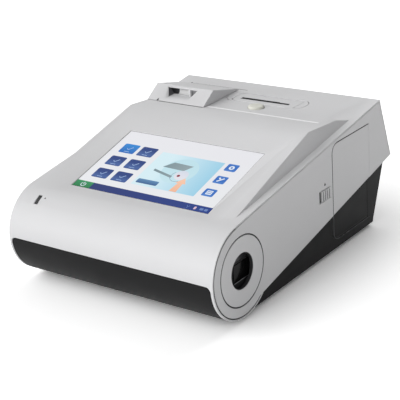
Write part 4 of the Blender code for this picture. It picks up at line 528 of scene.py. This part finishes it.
tile_places = [(-60.9, 68.9), (-38.3, 68.7), (-61.5, 47.3), (-37.7, 47.0), (-61.4, 26.0), (-37.7, 26.1)]
tile_size = (9.3, 7.5, 1.6)
first_tile = shown("bright tile", linear(16, 96, 178), linear(40, 132, 208), 0.061, 0.077)
tile = shown("tile", linear(62, 92, 152), linear(28, 58, 122), 0.0, 0.0075, pitch=0.0107)
picture("screen_tile_1", 2, first_tile, pads(tile_places[:1], *tile_size))
picture("screen_tiles", 2, tile, pads(tile_places[1:], *tile_size))
tile_mark = shown("tile mark", linear(150, 178, 222), linear(168, 194, 232), 0.0, 0.09)
ticks = [band([(u - 2.6, v + 0.2), (u - 0.6, v - 1.8), (u + 3.4, v + 2.8)], 0.42) for u, v in tile_places]
strokes = [band([(u - 3.2, v - 5.0), (u + 3.2, v - 5.0)], 0.3) for u, v in tile_places]
picture("screen_tile_marks", 3, tile_mark, ticks + strokes)

panel = shown("guidance panel", linear(208, 232, 240), linear(150, 202, 226), -0.006, 0.052, across=True)
picture("screen_panel", 2, panel, [rounded(-22, 19.5, 51, 73.3, 0.6)])
halo = shown("halo", linear(196, 226, 234), linear(186, 220, 230), 0.0, 0.06)
picture("screen_halo", 3, halo, [disc(14, 50, 19, 36)])
tray_grey = shown("drawn tray", linear(118, 138, 146), linear(146, 162, 166), -0.01, 0.03, across=True)
picture("screen_tray", 4, tray_grey,
        [[(-7, 52), (18, 51), (24, 60), (1, 61)], [(-12.8, 44), (11.6, 38), (11.6, 41.2), (-12.8, 47)]])
spot = shown("drawn spot", linear(224, 222, 230), linear(206, 214, 228), 0.038, 0.052)
picture("screen_spot", 5, spot, [disc(20, 44.5, 7.2, 32)])
spot_line = shown("drawn ring", linear(120, 142, 160), linear(132, 152, 170), 0.0, 0.09)
picture("screen_spot_ring", 6, spot_line, [band(arc(18, 42, 8.0, 2.4, 2.9, 16), 0.22)])
red = shown("drawn drop", linear(128, 24, 44), linear(140, 34, 52), 0.0, 0.09)
picture("screen_drop", 6, red, [disc(17.6, 43.0, 1.7, 14)])
peach = shown("drawn pointer", linear(236, 178, 146), linear(244, 196, 168), 0.019, 0.040)
picture("screen_pointer", 5, peach, [[(22.5, 20.0), (30.5, 20.0), (29.5, 33.0), (32.5, 33.0), (27.2, 41.5),
                                      (21.0, 33.0), (24.0, 33.0)]])
pill = shown("pill key", linear(44, 84, 134), linear(92, 136, 178), 0.022, 0.030)
picture("screen_pill", 3, pill, [rounded(-19, 22.8, 5.5, 29.4, 1.4)])

key_places = [(61.4, 68.2), (61.7, 48.6), (62.6, 28.6)]
key = shown("side key", linear(96, 146, 212), linear(46, 104, 186), 0.0, 0.0075, pitch=0.0098)
picture("screen_keys", 2, key, pads(key_places, 6.2, 5.6, 1.5))
picture("screen_key_marks", 3, mark,
        [disc(61.4, 68.2, 2.9, 18), band([(58.9, 45.8), (64.6, 51.4)], 0.8),
         band([(59.0, 51.6), (61.0, 49.4)], 0.8), rounded(59.4, 25.6, 65.8, 31.6, 0.5)])
picture("screen_key_insets", 4, key,
        [disc(61.4, 68.2, 1.2, 12), band([(60.2, 29.9), (65.0, 29.9)], 0.35),
         band([(60.2, 27.6), (65.0, 27.6)], 0.35)])
faint = shown("status mark", linear(96, 122, 178), linear(104, 130, 186), 0.0, 0.01)
picture("screen_status", 3, faint, [band([(53.6, 6.4), (55, 4.2), (56.6, 6.4)], 0.3), disc(55, 3.0, 0.45, 10),
                                    rounded(68.2, 3.4, 72.0, 6.4, 0.4), rounded(73.2, 3.4, 76.6, 6.4, 0.4)])
pink = shown("status alert", linear(206, 176, 196), linear(216, 188, 206), 0.0, 0.01)
picture("screen_alert", 3, pink, [rounded(61.8, 3.0, 64.2, 6.8, 0.8)])


# Barcode reader in the right hub: a shallow black funnel with a polished window at its bottom.
# A bright moulded line and one screw show inside; the reader's module sits behind the window.

scan_glass = moulded("dark scan window", (0.004, 0.004, 0.004), 0.16, strength=0.02, edge=0, drift=0.1,
                     specular=0.10)
wear(scan_glass, "scanner_window")
wear(dark, "scanner_module")
funnel_black = moulded("funnel black", (0.040, 0.040, 0.042), 0.34, strength=0.15, edge=0.0002, drift=0.1)
wear(funnel_black, "scanner_shroud")
funnel_floor = side_plane(0.1102, hub_y)
ledge = moulded("ledge grey", (0.34, 0.34, 0.35), 0.35, strength=0.05, edge=0, drift=0.05)
ledge_up = 0.03525
laid("shroud_ledge", "case", ledge, [band([(-0.0040, ledge_up), (0.0188, ledge_up)], 0.00024)],
     low=0.0016, high=0.0019, place=funnel_floor)
laid("scan_hole_sleeve", "case", funnel_black,
     [band(arc(0, hub_up, 0.01660, 0, ring_turn, 48), 0.00013)], low=0.0050, high=0.0082, place=funnel_floor)
frame_top, frame_front = 0.0526, -0.0046
laid("shroud_frame", "case", funnel_black,
     [band([(frame_front, frame_top), (0.0196, frame_top)], 0.0003),
      band([(frame_front, 0.0347), (frame_front, frame_top - 0.0003)], 0.0003)],
     low=-0.0001, high=0.0009, place=funnel_floor)
screw_back, screw_up, slot_arm = -0.0085, 0.0447, 0.0010
laid("shroud_screw", "case", steel, [disc(screw_back, screw_up, 0.0016, 20)],
     low=-0.0001, high=0.0006, place=funnel_floor, edge=0.0002)
# The screw's cross recess is a thin dark cross of painted shade.
laid("shroud_screw_recess", "case", recess_dark,
     [band([(screw_back - slot_arm, screw_up), (screw_back + slot_arm, screw_up)], 0.0002),
      band([(screw_back, screw_up - slot_arm), (screw_back, screw_up + slot_arm)], 0.0002)],
     low=0.0005, high=0.00063, place=funnel_floor)


# Sample port: a white moulded wedge screwed to the deck, with a splayed mouth and the cartridge window.
# The cartridge's white guide stands behind the window, its own white lightened as painted light; the throat's
# left wall, a plate behind the window's left part and the niche are dark grey painted shade.

white_round = moulded("white satin wedge", (0.64, 0.64, 0.65), 0.40, strength=0.06, edge=0.0004, drift=0.012)
case_copy("port_housing", "case", white_round, edge=0)
# The guide's white is its own colour, lightened as painted light for its lit face deep in the window.
guide_white = moulded("guide white", (0.72, 0.72, 0.72), 0.40, strength=0.06, edge=0.0003, drift=0.02)
wear(guide_white, "port_guide")
# Dark grey pieces of painted shade: on the throat's left wall, behind the window's left part and in the
# niche.
throat_shade_grey = moulded("painted throat shade", (0.075, 0.075, 0.080), 0.55, strength=0.10, edge=0, drift=0.10)
throat_x, throat_low, throat_lean = -0.08544, 0.0032, 0.6263
throat_plane = deck_place @ Matrix(((0, -throat_lean, 1, throat_x + throat_lean * throat_low),
                                    (1, 0, 0, 0), (0, 1, 0, 0), (0, 0, 0, 1)))
laid("port_throat_shade", "case", throat_shade_grey,
     [[(0.0032, 0.0034), (0.0132, 0.0034), (0.0132, 0.0105), (0.0107, 0.0108)]],
     low=-0.0001, high=0.00024, place=throat_plane)
chamber_place = deck_place @ Matrix(((1, 0, 0, 0), (0, 0, -1, 0), (0, 1, 0, 0), (0, 0, 0, 1)))
laid("port_chamber_shade", "case", throat_shade_grey,
     [[(-0.1038, -0.0005), (-0.0760, -0.0030), (-0.0760, 0.0083), (-0.1038, 0.0083)]],
     low=-0.0195, high=-0.0190, place=chamber_place)
niche_shade_grey = moulded("painted niche shade", (0.34, 0.34, 0.35), 0.5, strength=0.08, edge=0, drift=0.06)
laid("port_niche_shade", "case", niche_shade_grey, [rectangle(-0.0634, 0.0030, -0.0518, 0.0096)],
     low=-0.0148, high=-0.0146, place=chamber_place)


# Printer: a bucket and rim moulded in one, with a hinged lid that carries the rubber roller on a steel shaft.
# The paper comes off its roll past the print head and out of the slot, over a toothed steel blade.

case_copy("printer_frame", "case", white, edge=0.0003)
case_copy("printer_lid", "paper_lid", white, edge=0.0003)
# The slot's dark lining and the dark rim round it are painted shade; the lighter line along the lid's front
# edge is a painted highlight.
slot_left, slot_rear = -0.0155, 0.0378
laid("slot_shade_lining", "paper_lid", recess_dark,
     [rectangle(slot_left, 0.0374, 0.0419, slot_rear), rectangle(-0.0156, 0.0355, -0.0152, slot_rear)],
     low=-0.0025, high=-0.00005, place=deck_place)
laid("slot_shade_rim", "paper_lid", recess_dark,
     [rounded(-0.0162, 0.0341, 0.0424, 0.0354, 0.0003), rounded(-0.0162, 0.0379, 0.0300, 0.0384, 0.0002)],
     low=-0.0002, high=0.00006, place=deck_place)
laid("lid_front_highlight", "paper_lid", painted_highlight_white,
     [rounded(-0.0150, 0.0268, 0.0420, 0.0277, 0.0003)], low=-0.0002, high=0.00010, place=deck_place)
paper, tree, shader, places = new_material("thermal paper", (0.82, 0.82, 0.80), 0.62)
layers = noise(tree, places, 900, 2, (0.02, 1, 1))
tint(tree, shader, layers, (0.78, 0.78, 0.76), (0.85, 0.85, 0.83))
grain(tree, shader, layers, 0.2, 0.0001)
wear(paper, "paper_roll")
wear(rubber, "platen_roller")
wear(steel, "platen_shaft", "tear_bar")
wear(dark, "print_head")


# Release button: an oval, domed key in warm white plastic that frees the printer's lid.
# It slides in a dark guide under the deck and springs back by itself.

key_white = moulded("warm white key", (0.68, 0.68, 0.61), 0.34, strength=0.05, edge=0.0003, drift=0.02)
wear(key_white, "release_button")
wear(dark, "button_guide")


# Rear sockets: inlet, power switch, network and memory sockets, pushed through the tray's leaning rear wall.
# Their contacts are gold-plated, the inlet's pin is plated steel, and a rating plate is stuck on beside them.

rear_rise, rear_lean = 0.0633, 0.024
rear_place = (Matrix.Translation((0, hub_y + 0.238, 0.0034))
              @ Matrix.Rotation(math.atan2(rear_rise, rear_lean), 4, "X"))
wear(dark, "power_inlet", "power_switch_case")
wear(gloss, "power_switch")
wear(steel, "network_socket", "usb_socket")
gold = metal("gold-plated contact", (0.72, 0.52, 0.22), 0.24, pattern=(700, 2, (1, 0.1, 1)),
             gloss=(0.18, 0.34), dull=(0.68, 0.48, 0.19), bright=(0.78, 0.58, 0.27),
             strength=0.1, depth=0.00005)
laid("network_contact_bed", "case", dark, [rounded(-0.0211, 0.0289, -0.0089, 0.0391, 0.0003)],
     low=0.0079, high=0.0084, place=rear_place)
network_x, network_pitch, network_wide = -0.0185, 0.00102, 0.0005
laid("network_contacts", "case", gold,
     [rectangle(network_x + network_pitch * number, 0.0300,
                network_x + network_wide + network_pitch * number, 0.0378) for number in range(8)],
     low=0.0074, high=0.0081, place=rear_place)
laid("usb_tongue_tip", "case", dark, [rounded(0.0158, 0.0330, 0.0242, 0.0350, 0.0002)],
     low=0.0004, high=0.0008, place=rear_place)
usb_x, usb_pitch, usb_wide = 0.0167, 0.0020, 0.0010
laid("usb_contacts", "case", gold,
     [rectangle(usb_x + usb_pitch * number, 0.03275,
                usb_x + usb_wide + usb_pitch * number, 0.0330) for number in range(4)],
     low=0.0010, high=0.0070, place=rear_place)
laid("inlet_pin_sleeve", "case", steel, [disc(-0.0820, 0.034, 0.00104, 24)],
     low=-0.00084, high=0.0081, place=rear_place)
rocker_rest, rocker_axle = math.radians(7), -0.0052
rocker_place = (rear_place @ Matrix.Translation((-0.0500, 0.034, 0.0047))
                @ Matrix.Rotation(rocker_rest, 4, "X"))
rocker_tilt = math.atan2(0.0008, 0.0078)
mark_white = moulded("pad-printed white", (0.72, 0.72, 0.72), 0.45, strength=0.05, edge=0, drift=0.02)
for word, way, outline in (("on", -1, rectangle(-0.0003, -0.0062, 0.0003, -0.0030)),
                           ("off", 1, band(arc(0, 0.0046, 0.0014, 0, ring_turn, 24), 0.00028))):
    half_place = (rocker_place @ Matrix.Translation((0, 0, rocker_axle))
                  @ Matrix.Rotation(way * rocker_tilt, 4, "X"))
    laid("switch_mark_" + word, "rocker", mark_white, [outline],
         low=-0.00005, high=0.0002, place=half_place)
plate = moulded("silver rating plate", (0.30, 0.30, 0.31), 0.42, strength=0.05, edge=0, drift=0.03)
laid("rating_plate", "case", plate, [rounded(0.0450, 0.0200, 0.0950, 0.0480, 0.0015)],
     low=-0.00012, high=0.0003, place=rear_place)
laid("rating_plate_lines", "case", recess_dark,
     [band([(0.0475, up), (0.0925, up)], 0.0001) for up in (0.0225, 0.0273, 0.0321, 0.0369, 0.0455)],
     low=-0.00016, high=0.0002, place=rear_place)


# Door and latch: a black moulded panel with a white skin clipped on, hinged at its rear edge.
# A ribbed white slide in a dark housing holds it shut; a coil spring wound from steel wire returns the slide.
# The gap round the door is a dark line of painted shade, and a light grey line along the black panel's lower
# edge is a painted highlight; the slide's gap and the hollows between its ribs carry dark painted shade.

case_copy("door_panel", "door", black, edge=0.0003)
case_copy("door_skin", "door", white, edge=0.0003)
wear(dark, "latch_housing")
door_rear, door_middle = 0.2262, 0.0560
corner_back, corner_low, corner_high = 0.1640, 0.0230, 0.1043
corner_long, corner_tall, corner_steps = 0.00900, 0.00894, 6


def lower_line(inset, end_up):
    """The door's lower outline from its rear end, round the front corner and up, moved in by the inset."""
    long, tall = corner_long - inset, corner_tall - inset
    turns = [math.pi / 2 / corner_steps * step for step in range(1, corner_steps + 1)]
    return ([(door_rear, corner_low - tall), (corner_back, corner_low - tall)]
            + [(corner_back - long * math.sin(turn), corner_low - tall * math.cos(turn)) for turn in turns]
            + [(corner_back - long, end_up)])


upper_turns = [math.pi / 2 / corner_steps * step for step in range(corner_steps + 1)]
upper_line = ([(corner_back - corner_long, door_middle)]
              + [(corner_back - corner_long * math.cos(turn), corner_high + corner_tall * math.sin(turn))
                 for turn in upper_turns]
              + [(door_rear, corner_high + corner_tall)])
# The door's gap is drawn as dark strips of painted shade.
gap_shade_half, gap_shade_deep = 0.00037, -0.0030
door_plane = side_plane(0.1160, hub_y)
laid("door_gap_shade_low", "case", groove_dark, [band(lower_line(0, door_middle), gap_shade_half)],
     low=gap_shade_deep, high=-0.0002, place=door_plane)
laid("door_gap_shade_high", "case", groove_dark, [band(upper_line, gap_shade_half)],
     low=gap_shade_deep, high=0.00294, place=door_plane)
# A light grey line along the black panel's lower edge, a painted highlight.
edge_highlight_grey = moulded("painted door edge highlight", (0.11, 0.11, 0.115), 0.30, strength=0.05, edge=0, drift=0.05)
laid("door_edge_highlight", "door", edge_highlight_grey, [band(lower_line(0.0004, 0.0555), 0.00006)],
     low=0.0020, high=0.0029, place=door_plane)
case_copy("latch_slider", "latch", white, edge=0.0001)
latch_plane = side_plane(0.1162)
rib_wide, rib_low, rib_high = 0.0013, 0.0628, 0.0722
# A dark plate of painted shade lies in the gap beside the slide, and dark strips of painted shade lie between
# its ribs.
laid("latch_gap_shade", "latch", groove_dark, [rectangle(0.01585, 0.0630, 0.0206, 0.0729)],
     low=0.0, high=0.0012, place=latch_plane)
laid("latch_rib_shade", "latch", seam_dark,
     [rectangle(rib_y, rib_low, rib_y + rib_wide, rib_high)
      for rib_y in (0.02335, 0.02695, 0.03055, 0.03415)], low=0.0016, high=0.0023, place=latch_plane)
laid("latch_mark", "case", groove_dark,
     [[(0.0248, 0.0779), (0.0282, 0.0779), (0.0265, 0.0811)]], low=0.0026, high=0.00281, place=latch_plane)

coil_start, coil_long, coil_radius, coil_turns = Vector((0.1156, 0.0087, 0.0683)), 0.0065, 0.0007, 12
wire_radius, wire_sides, coil_steps = 0.0002, 6, 144
coil_points, coil_faces = [], []
for step in range(coil_steps + 1):
    turn = 2 * math.pi * coil_turns * step / coil_steps
    out = Vector((math.cos(turn), 0, math.sin(turn)))
    middle = coil_start + Vector((0, coil_long * step / coil_steps, 0))
    for part in range(wire_sides):
        around = 2 * math.pi * part / wire_sides
        coil_points.append(middle + out * (coil_radius + wire_radius * math.cos(around))
                           + Vector((0, wire_radius * math.sin(around), 0)))
        if step:
            here, before = step * wire_sides, (step - 1) * wire_sides
            after = (part + 1) % wire_sides
            coil_faces.append((before + part, before + after, here + after, here + part))
last_ring = coil_steps * wire_sides
coil_faces += [tuple(range(wire_sides)), tuple(range(last_ring + wire_sides - 1, last_ring - 1, -1))]
coil_mesh = bpy.data.meshes.new("latch_spring_coil")
coil_mesh.from_pydata(coil_points, [], coil_faces)
coil_mesh.materials.append(steel)
coil = added("latch_spring_coil", coil_mesh)
finish_mesh(coil, 60)
coil.modifiers.clear()
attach(coil, "case")
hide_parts("latch_spring")
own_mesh(coil)


# Floor and backdrop: one large sheet of white studio paper, laid flat under the analyzer.
# It shows white to the eye and in polished surfaces, and lights the object as a plain pale sheet does.

reach = 8
floor_mesh = bpy.data.meshes.new("studio_floor")
floor_mesh.from_pydata([(-reach, -reach, 0), (reach, -reach, 0), (reach, reach, 0), (-reach, reach, 0)],
                       [], [(0, 1, 2, 3)])
floor = added("studio_floor", floor_mesh)
sheet = bpy.data.materials.new("studio sheet")
sheet.use_nodes = True
tree = sheet.node_tree
tree.nodes.remove(tree.nodes["Principled BSDF"])
matt = tree.nodes.new("ShaderNodeBsdfDiffuse")
path = tree.nodes.new("ShaderNodeLightPath")
seen = reckoned(tree, "ADD", path.outputs["Is Camera Ray"], path.outputs["Is Glossy Ray"])
seen = reckoned(tree, "ADD", seen, path.outputs["Is Transmission Ray"])
tree.links.new(spread(tree, seen, 0.86, 1.5, 0, 1), matt.inputs["Color"])
tree.links.new(matt.outputs["BSDF"], tree.nodes["Material Output"].inputs["Surface"])
floor_mesh.materials.append(sheet)


# Light: a large white screen ahead and to the left, a weaker one at the left, and two large soft lamps,
# one above the back and one at the right.

screen_way, screen_width, screen_light = (-0.511, -0.812, 0.281), 3, 2.45
world = bpy.data.worlds.new("studio room")
world.use_nodes = True
room = world.node_tree
room.nodes["Background"].inputs["Color"].default_value = (1, 1, 1, 1)
facing = room.nodes.new("ShaderNodeTexCoord")
toward = room.nodes.new("ShaderNodeVectorMath")
toward.operation = "DOT_PRODUCT"
toward.inputs[1].default_value = screen_way
room.links.new(facing.outputs["Generated"], toward.inputs[0])
ahead = reckoned(room, "MAXIMUM", toward.outputs["Value"], 0)
screen = reckoned(room, "POWER", ahead, screen_width)
sideways = room.nodes.new("ShaderNodeSeparateXYZ")
room.links.new(facing.outputs["Generated"], sideways.inputs["Vector"])
left_light = spread(room, sideways.outputs["X"], 0, 1.0, 0, -1)
total = reckoned(room, "ADD", reckoned(room, "MULTIPLY", screen, screen_light), left_light)
room.links.new(total, room.nodes["Background"].inputs["Strength"])
bpy.context.scene.world = world

aim = Vector((0, 0, 0.08))
lamp_distance, lamp_wide, lamp_tall = 2.4, 1.6, 1.2
for name, way, energy in (("rear_lamp", (0, 0.7, 0.7), 17), ("side_lamp", (0.8, -0.5, 0.4), 14)):
    lamp_data = bpy.data.lights.new(name, "AREA")
    lamp_data.shape = "RECTANGLE"
    lamp_data.size = lamp_wide
    lamp_data.size_y = lamp_tall
    lamp_data.energy = energy
    lamp = added(name, lamp_data)
    lamp.location = aim + Vector(way).normalized() * lamp_distance
    lamp.rotation_euler = (aim - lamp.location).to_track_quat("-Z", "Y").to_euler()


# Camera: a long lens, above and to the right of the round front, turned slightly about its own axis.
# Its angles, distance and focal length come from a fit to the photo's corners and round edges.

azimuth = math.radians(37.78)
elevation = math.radians(21.57)
roll = math.radians(-4.2)
distance = 1.12704
focal_pixels, picture_pixels, sensor_wide = 1148.94, 400, 36
target = Vector((0.00041, -0.01357, 0.05644))
back = Vector((math.sin(azimuth) * math.cos(elevation), -math.cos(azimuth) * math.cos(elevation),
               math.sin(elevation)))
right = Vector((math.cos(azimuth), math.sin(azimuth), 0))
up = back.cross(right)
right_rolled = math.cos(roll) * right + math.sin(roll) * up
up_rolled = -math.sin(roll) * right + math.cos(roll) * up
camera_data = bpy.data.cameras.new("photo_camera")
camera_data.sensor_width = sensor_wide
camera_data.lens = focal_pixels * sensor_wide / picture_pixels
camera_data.clip_end = 40
camera = added("photo_camera", camera_data)
camera.matrix_world = Matrix.Translation(target + back * distance) @ Matrix(
    (right_rolled, up_rolled, back)).transposed().to_4x4()
bpy.context.scene.camera = camera
bpy.context.scene.view_settings.view_transform = "Standard"
